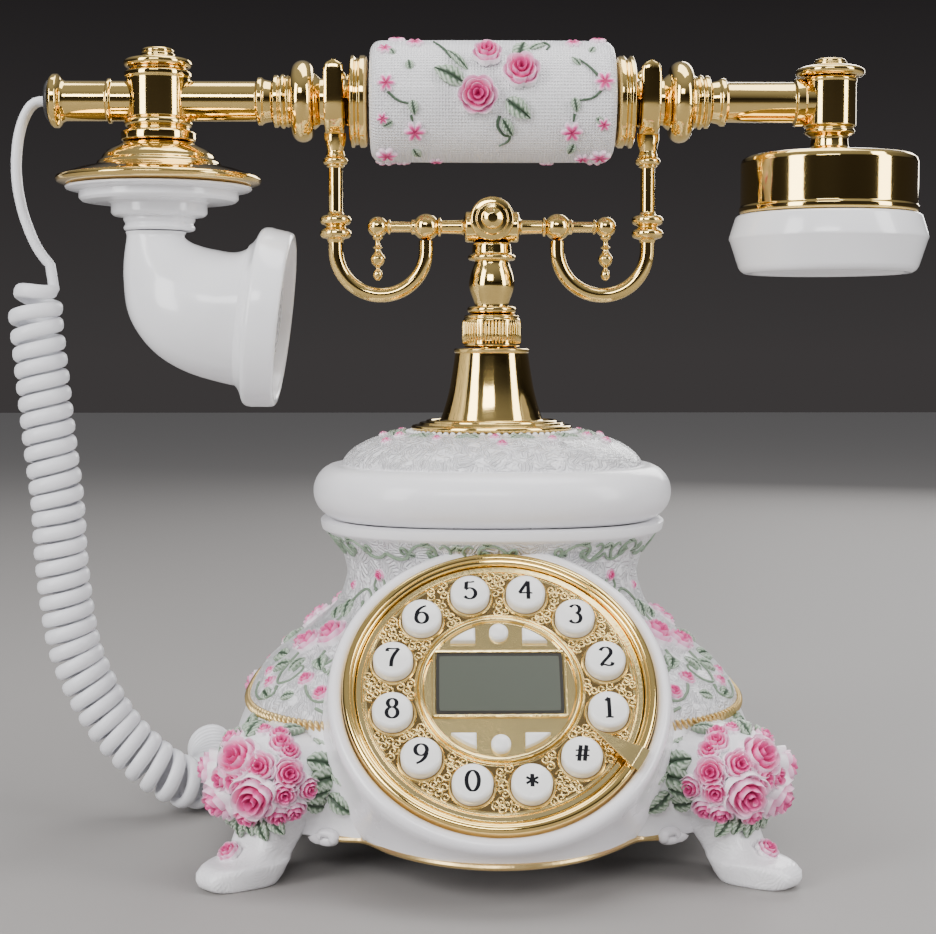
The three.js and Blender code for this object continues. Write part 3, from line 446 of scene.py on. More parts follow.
VINYL = finish("cord_vinyl", (0.88, 0.88, 0.91), (0.83, 0.83, 0.87), 0.34, depth=0.05)
RUBBER = finish("black_plastic", (0.02, 0.02, 0.022), (0.035, 0.035, 0.037), 0.5, depth=0.3)
DISPLAY = finish("display_glass", (0.078, 0.086, 0.066), (0.066, 0.074, 0.058), 0.3, coat=0.15,
                 depth=0.01)
FRAME_BLACK = finish("window_frame", (0.02, 0.017, 0.012), (0.012, 0.010, 0.008), 0.35)
CIRCUIT = finish("circuit_board", (0.03, 0.16, 0.06), (0.02, 0.11, 0.05), 0.45, depth=0.3)
STEEL = finish("steel_plate", (0.62, 0.62, 0.63), (0.5, 0.5, 0.52), 0.45, metallic=0.6, depth=0.3)
SPRING = finish("spring_steel", (0.6, 0.6, 0.62), (0.5, 0.5, 0.52), 0.25, metallic=1.0)
CLEAR = finish("clear_plastic", (0.78, 0.80, 0.82), (0.72, 0.75, 0.77), 0.1, coat=0.5)
print("finishes:", len(bpy.data.materials))

# %% [markdown]
# ## The curly cord
# A curly cord is a flat lead wound on a mandrel, so it is one flexible lead of fixed length that
# follows a helix. The route is the CAD model's: out of the handset's tube, down in a lazy curve,
# round and round the coil's axis, then flat on the table to the plug behind. The helix is worked
# out by carrying a frame along the axis, and a flattened circle is swept along the whole path.

# %% Cord
CORD_WIDTH = 4.5
CORD_FLATNESS = 0.7
COIL_RADIUS = 6.7
TURN_SPACING = 5.15
LOOSE_SPACING = 6.6
LOOSE_LENGTH = 22
POINTS_PER_TURN = 30
LEAD_START_X = limits("cord_lead")[1][0]
LEAD = [
    (LEAD_START_X, 0, AXIS_Z), (-138.6, 0, 218.7), (-141.2, 0, 216.8), (-143.3, 0, 212.8),
    (-144.8, 0, 207.2), (-145.5, 0, 199.6), (-145, 0, 191.7), (-143, 0, 183),
    (-139.4, 0, 174.3), (-134.6, 0, 167.8),
]
COIL = [
    (-138.7, 0, 162.4), (-140.3, 0, 155.5), (-139.3, 0, 143.1), (-137.8, 0, 127.6),
    (-136.2, 0, 112.1), (-134.4, 0, 96.6), (-133.4, 0, 78), (-131.3, 0, 59.5),
    (-128.8, 0, 48), (-123.8, 0, 36.5), (-117.3, 0, 25.6), (-109.3, 0, 16.9),
    (-102, 1, 10.8), (-95.5, 5, 6.8), (-91.5, 13, 5.6), (-90.5, 24, 5.5), (-91.5, 40, 5.5),
    (-94, 54, 5.5), (-96, 66, 5.5),
]
plug_low, plug_high = limits("cord_plug")
plug_x, _, plug_z = (plug_low + plug_high) / 2
TAIL = [
    (-96.6, 66.6, 5.5), (-98, 77, 3.3), (-96.5, 89, 0.7), (-89, 101, -0.6), (-75, 108.6, -0.8),
    (-58, 108.4, 0.4), (-45.6, 102.4, 5.4), (-38, 94, 13), (-35.2, 86, 19),
    (plug_x, plug_high[1] + 0.3, plug_z),
]


def evenly(path, spacing):
    """The path resampled at equal distances."""
    steps = np.concatenate([[0], np.linalg.norm(np.diff(path, axis=0), axis=1).cumsum()])
    places = np.linspace(0, steps[-1], max(2, int(round(steps[-1] / spacing)) + 1))
    return np.column_stack([np.interp(places, steps, path[:, k]) for k in range(3)])


def helix_round(axis_points):
    """The turns of the cord about a curved axis, easing in and out at its ends."""
    axis = evenly(flowing(axis_points, 600), 0.15)
    ahead = np.gradient(axis, axis=0)
    ahead /= np.linalg.norm(ahead, axis=1)[:, None]
    travelled = np.concatenate([[0], np.linalg.norm(np.diff(axis, axis=0), axis=1).cumsum()])
    share = np.clip(travelled / LOOSE_LENGTH, 0, 1)
    spacing = LOOSE_SPACING + (TURN_SPACING - LOOSE_SPACING) * share
    turns = np.concatenate([[0], (np.diff(travelled) / spacing[1:]).cumsum()])
    ease_in = np.clip(turns / 0.8, 0, 1)
    ease_out = np.clip((turns[-1] - turns) / 0.9, 0, 1)
    ease = (ease_in * ease_in * (3 - 2 * ease_in) * 0.35 + 0.65) * (
        ease_out * ease_out * (3 - 2 * ease_out) * 0.9 + 0.1)
    side = np.array((1.0, 0, 0))
    sides = []
    for t in ahead:
        side = side - t * (side @ t)
        side /= np.linalg.norm(side)
        sides.append(side)
    sides = np.array(sides)
    other = np.cross(ahead, sides)
    angle = 2 * pi * turns
    line = axis + COIL_RADIUS * ease[:, None] * (
        np.cos(angle)[:, None] * sides + np.sin(angle)[:, None] * other)
    print("coil:", round(turns[-1], 1), "turns")
    wanted = np.arange(0, turns[-1], 1 / POINTS_PER_TURN)
    line = np.column_stack([np.interp(wanted, turns, line[:, k]) for k in range(3)])
    out = np.column_stack([np.interp(wanted, turns, ahead[:, k]) for k in range(3)])
    return line, out


def make_cord():
    lead = evenly(flowing(LEAD, 200), 1.6)[:-1]
    turns, turn_axes = helix_round(COIL)
    tail = evenly(flowing(TAIL, 200), 1.6)[1:]
    path = np.vstack([lead, turns, tail])
    ahead = np.gradient(path, axis=0)
    ahead /= np.linalg.norm(ahead, axis=1)[:, None]
    # the flat cord's width lies along the coil's axis, and level where it lies on the table
    across = np.vstack([np.tile((0, 1.0, 0), (len(lead), 1)), turn_axes,
                        np.tile((0, 0, 1.0), (len(tail), 1))])
    for _ in range(12):
        across[1:-1] = (across[:-2] + across[1:-1] + across[2:]) / 3
    sides = 12
    around = whole_turn(sides)
    rings = []
    for p, t, w in zip(path, ahead, across):
        w = w - t * (w @ t)
        w /= np.linalg.norm(w)
        thin = np.cross(t, w)
        c, s = np.cos(around), np.sin(around)
        rings.append(p + CORD_WIDTH / 2 * (
            (np.sign(c) * np.abs(c) ** 0.8)[:, None] * w + CORD_FLATNESS * s[:, None] * thin))
    shape = Shape().add(grid(rings), VINYL)
    mesh_piece = shape.make("curly_cord", "base", "cord_vinyl", (), sharp=60)
    mesh_piece.parent = None
    line = path * MM + np.array(COLUMN)
    return mesh_piece, line


cord_piece, cord_line = make_cord()
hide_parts("cord_lead", "cord_coil", "cord_tail")
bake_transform(cord_piece)


def plug():
    """A clear modular plug: a block with a latch and a boot where the cord goes in."""
    shape = Shape()
    low, high = plug_low, plug_high
    x, z = (low[0] + high[0]) / 2, (low[2] + high[2]) / 2
    width, tall = (high[0] - low[0]) / 2, (high[2] - low[2]) / 2
    rings = []
    for y, k in ((low[1], 0.86), (low[1] + 0.6, 0.97), (high[1] - 3, 0.97), (high[1] - 0.5, 0.8),
                 (high[1], 0.62)):
        ring = squircle(0, 1, 8, 48)
        rings.append(np.column_stack([x + ring[:, 0] * width * k, np.full(48, y),
                                      z + ring[:, 1] * tall * k]))
    shape.add(grid(rings), CLEAR)
    latch = [(x, y, z - tall * 0.9 + dz) for y, dz in ((low[1] + 2, 0.3), (low[1] + 6, -0.2),
                                                      (high[1] - 1, -0.5))]
    shape.add(swept(flowing(latch, 12), 1.1, 10, flat=0.4, up=(0, 0, 1)), CLEAR)
    return shape.make("modular_plug", "base", "clear_plastic", "cord_plug")


plug_piece = plug()

# %% [markdown]
# ## The column and the cradle
# The bell, the nut and the stem are brass turned on a lathe and gilded, so each is a profile
# turned round the column. The hooks are tube bent into a J, with rings, a rod and a fork that
# holds the handset's neck. The rings and balls are arcs in the profile, so they stay round close
# up.

# %% Bell, nut and stem
BELL_Z, BELL_TOP = limits("bell_cone")[0][2], limits("bell_cone")[1][2]
NUT_Z, NUT_TOP = nut_low[2], nut_high[2]
NUT_R = nut_high[0]
HUB_Z = limits("cradle_crossbar")[1][2] - 6.8
BAR_Z = HUB_Z - 2.2


def ring_bead(radius, z, half):
    """A round bead in a profile, from its lower to its upper edge."""
    return arc(radius - half, z, half, -90, 90, 9)


def bell():
    z = BELL_Z
    height = BELL_TOP - z
    flare = [(15.8, z + 3.4), (14.3, z + 8), (13.1, z + height * 0.5), (12.0, z + height * 0.75),
             (11.3, z + height - 1.4)]
    profile = [
        (20.8, z), *arc(24.0, z + 0.9, 0.9, -90, 90, 7), (22.6, z + 1.8), (22.2, z + 2.6),
        *arc(19.6, z + 2.5, 0.9, 0, 180, 7), (17.4, z + 2.4), (16.6, z + 2.6),
        *[tuple(p) for p in flowing([(r, h, 0) for r, h in flare], 18)[:, :2]],
        (11.6, z + height - 1.2), (11.7, z + height - 0.3), (11.2, z + height), (4.4, z + height),
    ]
    shape = Shape().add(turned(profile, segments=128, fillet=0.15), GOLD)
    return shape.make("gilt_bell", "base", "polished_gold", "bell_cone")


def nut_core():
    z, top = NUT_Z, NUT_TOP
    r = NUT_R
    profile = [(4.2, z), (r - 1.6, z), (r - 0.7, z + 0.5), (r - 0.7, z + 2.2), (r - 1.0, z + 2.6),
               (r - 0.55, z + 3.1), (r - 0.55, top - 1.6), (r - 1.0, top - 1.0),
               (r - 0.9, top - 0.4),
               (r - 1.8, top), (4.2, top)]
    return Shape().add(turned(profile, segments=96, fillet=0.2), GOLD)


def stem():
    z = NUT_TOP + 0.3
    top = HUB_Z - 7.1
    span = top - z
    belly = flowing([(5.3, z + 2.3, 0), (5.5, z + 3.6, 0), (6.9, z + 7.6, 0), (7.0, z + 9.6, 0),
                     (6.4, z + 12.4, 0), (5.4, z + 15.2, 0), (5.3, z + 16.0, 0)], 28)
    profile = [
        (0, 98.6), (3.8, 98.6), (3.8, z - 0.2), (6.0, z - 0.1), *ring_bead(7.6, z + 1.15, 1.15),
        *[tuple(p) for p in belly[:, :2]], *ring_bead(7.4, z + 17.2, 1.0), (6.1, z + 18.5),
        (5.9, top - 0.6), (5.4, top), (0, top),
    ]
    shape = Shape().add(turned(profile, segments=96, fillet=0.2), GOLD)
    return shape.make("gilt_stem", "cradle", "polished_gold", "cradle_stem")


bell()
stem()

# %% [markdown]
# ## Crossbar and hooks
# The crossbar is one turned arm used twice, with a drop under each end and a hub across it. Each
# hook is a tube bent into a J under a turned post, and its fork is a thick ribbon bent into a U.

# %% Crossbar and hooks
BALL_X, END_X = 20.2, 35.1


def crossbar():
    shape = Shape()
    half = [
        (0, 0), (4.6, 0), *arc(3.9, 7.4, 0.9, 20, 90, 5), (2.6, 8.7), (2.2, 9.2), (2.05, 15.4),
        (2.9, 15.8), (2.9, 16.4), (2.2, 16.7), *arc(0, BALL_X, 4.1, -60, 55, 13), (2.3, 23.8),
        (2.3, 24.6), (1.65, 25.0), (1.65, 31.0), (2.3, 31.3), (2.2, 31.9),
        *arc(0, END_X, 3.2, -62, 90, 13),
    ]
    drop = [(0, -16.5), (0.7, -16.2), (1.3, -15.4), (1.5, -14.6), (1.2, -13.6), (0.6, -12.9),
            (0.7, -12.3), (1.7, -11.4), (2.3, -9.9), (2.0, -8.9), (1.2, -7.9), (0.9, -6.9),
            (1.6, -6.3), (0.9, -5.7), (0.8, -4.2), (1.5, -3.6), (1.6, -2.6), (0, -2.2)]
    fine_drop = [tuple(p) for p in flowing([(r, z, 0) for r, z in drop], 60)[:, :2]]
    for side in (1, -1):
        arm = turned([(r, x * side) for r, x in half], "x", (0, 0, BAR_Z), 40, 0.15)
        shape.add(arm, GOLD)
        shape.add(turned([(max(r, 0), z) for r, z in fine_drop], "z",
                         (side * END_X, 0, BAR_Z), 24, 0), GOLD)
    hub = [(0, 9.6), (1.5, 9.5), (3.0, 8.6), (3.4, 7.4), (3.0, 6.4), (4.6, 6.3), (5.0, 5.6),
           *arc(5.7, 4.4, 1.1, 80, -60, 7), (5.6, 2.8), (5.6, -2.8),
           *arc(5.7, -4.4, 1.1, 60, -80, 7), (5.0, -5.6), (4.6, -6.3), (3.0, -6.4), (3.4, -7.4),
           (3.0, -8.6), (1.5, -9.5), (0, -9.6)]
    shape.add(turned(hub, "y", (0, 0, HUB_Z), 56, 0.12), GOLD)
    cap = [(0, HUB_Z + 4), (3.0, HUB_Z + 5.4), (3.2, HUB_Z + 6.0), (2.0, HUB_Z + 6.7),
           (0, HUB_Z + 6.8)]
    shape.add(turned(cap, "z", (0, 0, 0), 32, 0.2), GOLD)
    return shape.make("gilt_crossbar", "cradle", "polished_gold", "cradle_crossbar")


YOKE_X = 48.0
BEND_R = 13.9
NECK_R = 7.0


def fork(x, width=6.0):
    """The U that holds the handset's neck, its prongs rounded at their tips."""
    seat, outer = NECK_R + 0.3, NECK_R + 3.7
    tip = AXIS_Z + 11.3
    middle_r = (seat + outer) / 2
    line = [(x, -middle_r, tip)] + [
        (x, middle_r * cos(t), AXIS_Z + middle_r * sin(t))
        for t in np.linspace(pi, 2 * pi, 33)] + [(x, middle_r, tip)]
    line = evenly(np.array(line), 0.9)
    ahead = np.gradient(line, axis=0)
    ahead /= np.linalg.norm(ahead, axis=1)[:, None]
    walked = np.concatenate([[0], np.linalg.norm(np.diff(line, axis=0), axis=1).cumsum()])
    from_end = np.minimum(walked, walked[-1] - walked)
    section = squircle(0, 1, 4, 28)
    rings = []
    for p, t, d in zip(line, ahead, from_end):
        tip_round = sqrt(max(0.02, 1 - (1 - min(d, 2.8) / 2.8) ** 2))
        out = np.cross(t, (1, 0, 0))
        rings.append(p + section[:, :1] * np.array((width / 2 * tip_round, 0, 0))
                     + section[:, 1:2] * out * (outer - seat) / 2 * (0.55 + 0.45 * tip_round))
    return grid(rings)


def hook(name, node_name, side):
    shape = Shape()
    bend_x, bend_z = YOKE_X - BEND_R, BAR_Z - 7
    line = [(YOKE_X - 2 * BEND_R, 0, BAR_Z - 4.3), (YOKE_X - 2 * BEND_R, 0, bend_z)] + [
        (bend_x + BEND_R * cos(t), 0, bend_z + BEND_R * sin(t))
        for t in np.linspace(pi, 2 * pi, 41)[1:-1]] + [
        (YOKE_X, 0, bend_z), (YOKE_X, 0, BAR_Z - 3)]
    line = np.array(line) * (side, 1, 1)
    shape.add(swept(line, 2.25, 24), GOLD)
    post = [
        (0, BAR_Z - 5), (2.4, BAR_Z - 4.8), (2.6, BAR_Z - 3.9), *ring_bead(4.9, BAR_Z - 2.1, 1.55),
        (3.0, BAR_Z), *ring_bead(4.9, BAR_Z + 2.0, 1.55), (2.7, BAR_Z + 3.8), (2.2, BAR_Z + 4.6),
        (2.2, BAR_Z + 18), (2.9, BAR_Z + 18.4), *ring_bead(3.9, BAR_Z + 20.0, 1.2),
        (3.0, BAR_Z + 21.6), (2.6, BAR_Z + 23), (3.4, AXIS_Z - 11.4), (3.4, AXIS_Z - 9.6),
        (0, AXIS_Z - 9.0),
    ]
    shape.add(turned(post, "z", (side * YOKE_X, 0, 0), 40, 0.15), GOLD)
    shape.add(fork(side * YOKE_X), GOLD)
    return shape.make(name, "cradle", "polished_gold", node_name)


crossbar()
hook("gilt_hook_left", "hook_left", -1)
hook("gilt_hook_right", "hook_right", 1)

# %% [markdown]
# ## The handset
# A long grip covered in woven relief, with turned brass on both sides. The mouthpiece hangs from
# a dished flange: stepped white collars, then a swan neck that opens to the right. The swan neck
# is a loft of circles whose centres, radii and tilts change along a bent axis, drawn as a smooth
# curve so that it bulges like the real moulding. The ear side ends in a deep gold cup.

# %% Turned brass on the handset


def neck(name, node_name, side):
    profile = [
        (4.5, 37.9), (12.6, 37.9), (13.6, 38.2), (14.0, 38.9), (14.0, 40.2), (13.2, 40.8),
        (13.2, 41.4), (14.0, 42.0), (14.0, 42.9), (12.8, 43.4), (9.2, 43.7), (7.6, 44.2),
        (7.0, 44.9), (7.0, 52.4), (8.0, 53.4), (8.6, 54.3),
        *[(9.4 + 3.0 * cos(t), 57.8 + 3.4 * sin(t))
          for t in np.linspace(-1.45, 1.45, 15)],
        (8.8, 61.5), (8.0, 61.9), (7.9, 62.6), *arc(7.4, 63.8, 0.9, -80, 80, 7), (7.5, 65.0),
        (8.0, 65.3), (8.0, 66.4), (7.2, 66.8), (4.5, 66.8),
    ]
    part = turned([(r, x * side) for r, x in profile], "x", (0, 0, AXIS_Z), 96, 0.15)
    Shape().add(part, GOLD).make(name, "handset", "polished_gold", node_name)


def brass(name, node_name, profile, axis="z", centre=(0, 0, 0), segments=80, fillet=0.25,
          material=None, slot="polished_gold", body="handset"):
    shape = Shape().add(turned(profile, axis, centre, segments, fillet), material or GOLD)
    return shape.make(name, body, slot, node_name)


MOUTH_X = sum(limits("finial_left"))[0] / 2
EAR_X = sum(limits("finial_right"))[0] / 2
TUBE_R = 6.1
FLARE_X = limits("tube_left")[0][0]

neck("gilt_neck_left", "neck_left", -1)
neck("gilt_neck_right", "neck_right", 1)
brass("gilt_tube_left", "tube_left", [
    (4.5, FLARE_X), (7.6, FLARE_X), (8.2, FLARE_X + 0.8), (8.2, FLARE_X + 2.2),
    (7.4, FLARE_X + 3.0), (6.5, FLARE_X + 3.5), (TUBE_R, FLARE_X + 4.4),
    (TUBE_R, MOUTH_X - 15.4), (6.9, MOUTH_X - 15.0), (6.9, MOUTH_X - 14.2),
    (TUBE_R, MOUTH_X - 13.8),
    (TUBE_R, -72), (7.3, -71.4), (7.3, -70.2), (6.6, -69.4), (TUBE_R, -67.1), (4.5, -67.1),
    (4.5, FLARE_X)], "x", (0, 0, AXIS_Z))
brass("gilt_tube_right", "tube_right", [
    (4.5, 67.1), (TUBE_R, 67.1), (6.6, 69.4), (7.3, 70.2), (7.3, 71.4), (TUBE_R, 72),
    (TUBE_R, EAR_X - 11.4), (7.2, EAR_X - 11.0), (7.2, EAR_X - 8.4), (TUBE_R, EAR_X - 8),
    (TUBE_R, EAR_X - 0.3), (4.5, EAR_X - 0.3)], "x", (0, 0, AXIS_Z))
brass("gilt_fitting_left", "fitting_left", [
    (0, -12.5), (10.6, -12.5), (11.4, -12.0), (11.4, -9.8), (10.8, -9.2), (9.6, -8.9), (9.6, -8.5),
    *arc(9.0, -6.9, 1.4, -80, 80, 9), (9.8, -5.2), (9.8, 6.6), (10.2, 7.2), (10.2, 8.4), (9.6, 9),
    (0, 9)], "z", (MOUTH_X, 0, AXIS_Z))
brass("gilt_finial_left", "finial_left", [
    (0, 9.3), (8.6, 9.3), (8.6, 9.9), *arc(9.1, 11.2, 1.3, -80, 80, 9), (8.4, 12.7), (6.2, 13.2),
    (5.2, 13.4), (5.2, 14.2), *arc(4.0, 15.0, 0.9, -40, 90, 6), (0, 16.4)],
    "z", (MOUTH_X, 0, AXIS_Z))
brass("gilt_flange", "mouth_flange", [
    (0, -25.7), (28.4, -25.7), (30.8, -25.0), (31.4, -24.0), (30.9, -23.1), (29.4, -22.6),
    (24.4, -20.9), (20.6, -20.1), (19.0, -19.5), (18.6, -18.6), (17.4, -17.8), (16.9, -16.6),
    (15.4, -15.2), (13.4, -14.2), (12.4, -13.6), (11.2, -12.9), (0, -12.9)],
    "z", (MOUTH_X, 0, AXIS_Z), 128, 0.3)
brass("white_collar", "mouth_collar", [
    (0, -39.5), (9.6, -39.5), *arc(10.0, -38.6, 0.9, -80, 60, 6), (10.3, -37.2), (10.9, -36.4),
    (10.9, -35.4), (13.8, -35.0), (14.6, -34.2), (14.6, -31.4), (15.4, -30.9), (23.2, -30.7),
    (24.2, -29.8), (24.2, -27.6), (27.4, -27.2), (28.3, -26.8), (28.3, -26.1), (0, -26.1)],
    "z", (MOUTH_X, 0, AXIS_Z), 112, 0.35, GLOSS, "white_gloss")
brass("gilt_fitting_right", "fitting_right", [
    (0, -16.0), (6.6, -16.0), (6.9, -15.2), (6.6, -14.3), (5.9, -13.6), (5.6, -11.4), (5.8, -10.4),
    (7.0, -9.8), *arc(6.8, -8.9, 0.9, -60, 60, 7), (7.4, -7.8), (8.0, -7.2), (8.0, 6.0),
    (8.3, 6.6), (8.0, 7.4), (0, 7.4)], "z", (EAR_X, 0, AXIS_Z))
brass("gilt_finial_right", "finial_right", [
    (0, 7.7), (9.0, 7.7), *arc(9.3, 9.1, 1.2, -80, 80, 9), (8.8, 10.6), (6.4, 11.0), (5.3, 11.2),
    (5.2, 12.0), *arc(4.0, 12.4, 0.8, -30, 90, 6), (0, 13.6)], "z", (EAR_X, 0, AXIS_Z))
brass("ear_cup_gilt", "ear_cup", [
    (0, -17.9), (25.2, -18.6), (25.4, -34.0), (27.0, -34.0), (27.4, -33.4), (27.4, -32.2),
    (27.0, -31.6), (27.0, -18.6), (26.6, -17.4), (25.6, -16.6), (23.6, -16.3), (9.4, -16.2),
    (8.6, -15.9), (0, -15.9)], "z", (EAR_X, 0, AXIS_Z), 128, 0.2)
brass("cord_bush", "cord_grommet", [
    (0, FLARE_X - 1.7), (3.4, FLARE_X - 1.7), (5.2, FLARE_X - 1.6), (6.3, FLARE_X - 0.9),
    (6.4, FLARE_X - 0.3), (4.1, FLARE_X - 0.3), (4.1, FLARE_X + 5), (0, FLARE_X + 5)],
    "x", (0, 0, AXIS_Z), 40, 0.2, RUBBER, "black_plastic")

# %% [markdown]
# ## Ear cap, swan neck and grille
# The ear cap is turned like the brass. The swan neck is lofted along its bent axis, and its lip is
# one more profile turned about the axis where the neck ends. Black discs are painted shade for the
# dark inside of the sound holes.

# %% Ear cap, swan neck and grille


def ear_cap():
    top = -34.3
    profile = [
        (0, top - 13.2), (8, top - 13.2), (13.0, top - 14.0), (14.0, top - 15.0),
        (21.5, top - 16.8), (23.6, top - 17.8), (25.4, top - 18.0), (26.6, top - 17.3),
        (27.4, top - 16.2), (30.0, top - 8.2), (30.4, top - 7.4), (30.3, top - 6.6),
        (28.4, top - 0.6), (27.6, top), (24.0, top), (24.0, top - 10), (0, top - 10),
    ]
    shape = Shape().add(turned(profile, "z", (EAR_X, 0, AXIS_Z), 128, 0.5), GLOSS)
    # Black discs just under the cap's face: painted shade for the dark inside of the sound holes.
    for ring_r, count in ((0, 1), (4.2, 6), (8.4, 12)):
        for i in range(count):
            t = 2 * pi * i / count
            spot = [(0, top - 13.28), (0.9, top - 13.28), (0.9, top - 13.24), (0, top - 13.24)]
            shape.add(turned(spot, "z", (EAR_X + ring_r * cos(t), ring_r * sin(t),
                                         AXIS_Z), 14, 0), RUBBER)
    return shape.make("ear_cap_gloss", "handset", "white_gloss", "ear_cap")


SWAN = [  # x and z from the fitting's axis, radius, degrees turned from down to the right
    (-1.1, -39.8, 9.2, 0), (-1.1, -42, 9.0, 2), (0.6, -49.1, 12.7, 24), (4.0, -55.5, 16.8, 38),
    (9.8, -60.7, 19.5, 49), (16.4, -63.7, 20.8, 62), (25.4, -65.2, 21.8, 80),
]
LIP = [(0.0, 21.8), (0.9, 22.6), (2.0, 24.2), (2.6, 25.6), (3.2, 27.0), (4.2, 27.6), (6.0, 27.7),
       (8.0, 27.4), (11.0, 27.1), (12.4, 26.8), (13.0, 26.0), (12.9, 24.9), (12.2, 24.4),
       (9.4, 24.2), (8.6, 23.6), (9.6, 18.0), (10.8, 10.0), (11.2, 0.0)]
SWAN_TILT = 83


def swan_ring(x, z, radius, degrees, segments=96):
    t = radians(degrees)
    side = np.array((cos(t), 0, sin(t)))
    around = whole_turn(segments)
    centre = np.array((MOUTH_X + x, 0, AXIS_Z + z))
    return centre + radius * (np.cos(around)[:, None] * side
                              + np.sin(around)[:, None] * np.array((0, 1, 0)))


def swan_neck():
    smooth = np.column_stack(
        [flowing([(row[k], 0, 0) for row in SWAN], 44)[:, 0] for k in range(4)])
    rings = [swan_ring(*row) for row in smooth]
    t = radians(SWAN_TILT)
    ahead = np.array((sin(t), 0, -cos(t)))
    x, z = SWAN[-1][:2]
    for step, radius in filleted(LIP, 0.5, 3):
        rings.append(swan_ring(x + ahead[0] * step, z + ahead[2] * step, max(radius, 0.001),
                               SWAN_TILT))
    shape = Shape().add(grid(rings), GLOSS)
    mouth = np.array((MOUTH_X + x, 0, AXIS_Z + z)) + ahead * 11.25
    side = np.array((cos(t), 0, sin(t)))
    # Black discs sunk into the mouth: painted shade for the dark inside of the grille's holes.
    for ring_r, count in ((0, 1), (4, 6), (8, 12), (12, 18)):
        for i in range(count):
            a = 2 * pi * i / count
            spot = mouth + ring_r * (cos(a) * side + sin(a) * np.array((0, 1, 0)))
            spot = spot - ahead * (0.02 + 0.04 * ring_r + 0.11 * max(0, ring_r - 10))
            turns = whole_turn(12)
            disc = spot + 0.8 * (np.cos(turns)[:, None] * side
                                 + np.sin(turns)[:, None] * np.array((0, 1, 0)))
            shape.add(grid([disc - ahead * 0.2, disc]), RUBBER)
    return shape.make("swan_neck", "handset", "white_gloss", ("mouth_horn", "mouth_grille"))


ear_cap()
swan_neck()

# %% [markdown]
# ## Painted relief
# The casting is decorated with roses, leaves and vines that were modelled in the mould and then
# tinted by hand. Each ornament is a small mesh whose points carry a number from 0 to 1, the tint,
# and the finish turns that number into paint through a colour ramp. So the pink stays in the
# hearts of the roses and the dark green in the veins, whatever the size of the ornament. On the
# roses the tint also deepens at the roots of the petals and in the notches between them, which is
# painted shade in the creases of the relief.

# %% Finishes that follow the tint


def by_tint(material, *stops):
    """Paints a finish by the tint attribute of its points, through the colour stops."""
    tree = material.node_tree
    tint = node(tree, "ShaderNodeAttribute", attribute_name="tint")
    ramp = tree.nodes.new("ShaderNodeValToRGB")
    elements = ramp.color_ramp.elements
    for k, (place, colour) in enumerate(stops):
        spot = elements[k] if k < 2 else elements.new(place)
        spot.position = place
        spot.color = (*colour, 1)
    wire(tree, (tint, "Fac", ramp, "Fac"))
    tree.links.new(ramp.outputs["Color"], tree.nodes["Principled BSDF"].inputs["Base Color"])
    return material


WHITE_PAINT = (0.93, 0.90, 0.93)
ROSE = by_tint(finish("rose_paint_and_crease_shade", WHITE_PAINT, WHITE_PAINT, 0.36, coat=0.2, depth=0.1),
               (0.0, WHITE_PAINT), (0.28, (0.93, 0.58, 0.76)), (0.6, (0.82, 0.11, 0.36)),
               (1.0, (0.46, 0.008, 0.11)))
LEAF = by_tint(finish("leaf_paint", WHITE_PAINT, WHITE_PAINT, 0.42, depth=0.2),
               (0.0, (0.78, 0.82, 0.77)), (0.4, (0.33, 0.43, 0.31)), (0.7, (0.07, 0.12, 0.07)),
               (1.0, (0.012, 0.025, 0.014)))
# Dark gold for the sunk ground of the dial: painted shade between the filigree scrolls.
SHADED_GILT_GROUND = finish("gilt_ground_painted_shade", (0.42, 0.29, 0.12), (0.30, 0.20, 0.08), 0.16, metallic=1.0,
                depth=0.05, scale=60)
GILT_ROPE = finish("gilt_rope", (0.80, 0.60, 0.28), (0.62, 0.42, 0.16), 0.3, metallic=0.9,
                   depth=0.3, scale=300)


def stroke_group():
    """Short brush strokes that change direction from patch to patch, as a height."""
    tree, given, result = new_group(
        "Stucco Strokes",
        [("Patch Scale", "NodeSocketFloat", 330.0), ("Stroke Scale", "NodeSocketFloat", 300.0)],
        [("Height", "NodeSocketFloat")])
    place = tree.nodes.new("ShaderNodeTexCoord")
    patch = node(tree, "ShaderNodeTexVoronoi")
    split = tree.nodes.new("ShaderNodeSeparateColor")
    turn = node(tree, "ShaderNodeMath", operation="MULTIPLY")
    turn.inputs[1].default_value = 2 * pi
    rotate = node(tree, "ShaderNodeVectorRotate", rotation_type="AXIS_ANGLE",
                  Axis=(0.35, 0.85, 0.4))
    wave = node(tree, "ShaderNodeTexWave", Distortion=7.0, Detail=2.0)
    wire(tree, (place, "Object", patch, "Vector"), (given, "Patch Scale", patch, "Scale"),
         (patch, "Color", split, 0), (split, 0, turn, 0), (place, "Object", rotate, "Vector"),
         (turn, 0, rotate, "Angle"), (rotate, 0, wave, "Vector"),
         (given, "Stroke Scale", wave, "Scale"), (wave, "Fac", result, "Height"))
    return tree


STROKES = stroke_group()


def stuccoed(material, depth):
    """Adds the strokes to a finish wherever the tint of its points is above zero."""
    tree = material.node_tree
    strokes = tree.nodes.new("ShaderNodeGroup")
    strokes.node_tree = STROKES
    tint = node(tree, "ShaderNodeAttribute", attribute_name="tint")
    height = node(tree, "ShaderNodeMath", operation="MULTIPLY")
    bump = node(tree, "ShaderNodeBump", Distance=depth, Strength=1.0)
    links = tree.links
    wire(tree, (strokes, "Height", height, 0), (tint, "Fac", height, 1),
         (height, 0, bump, "Height"))
    links.new(tree.nodes["surface"].outputs["Normal"], bump.inputs["Normal"])
    links.new(bump.outputs["Normal"], tree.nodes["Principled BSDF"].inputs["Normal"])
    return material


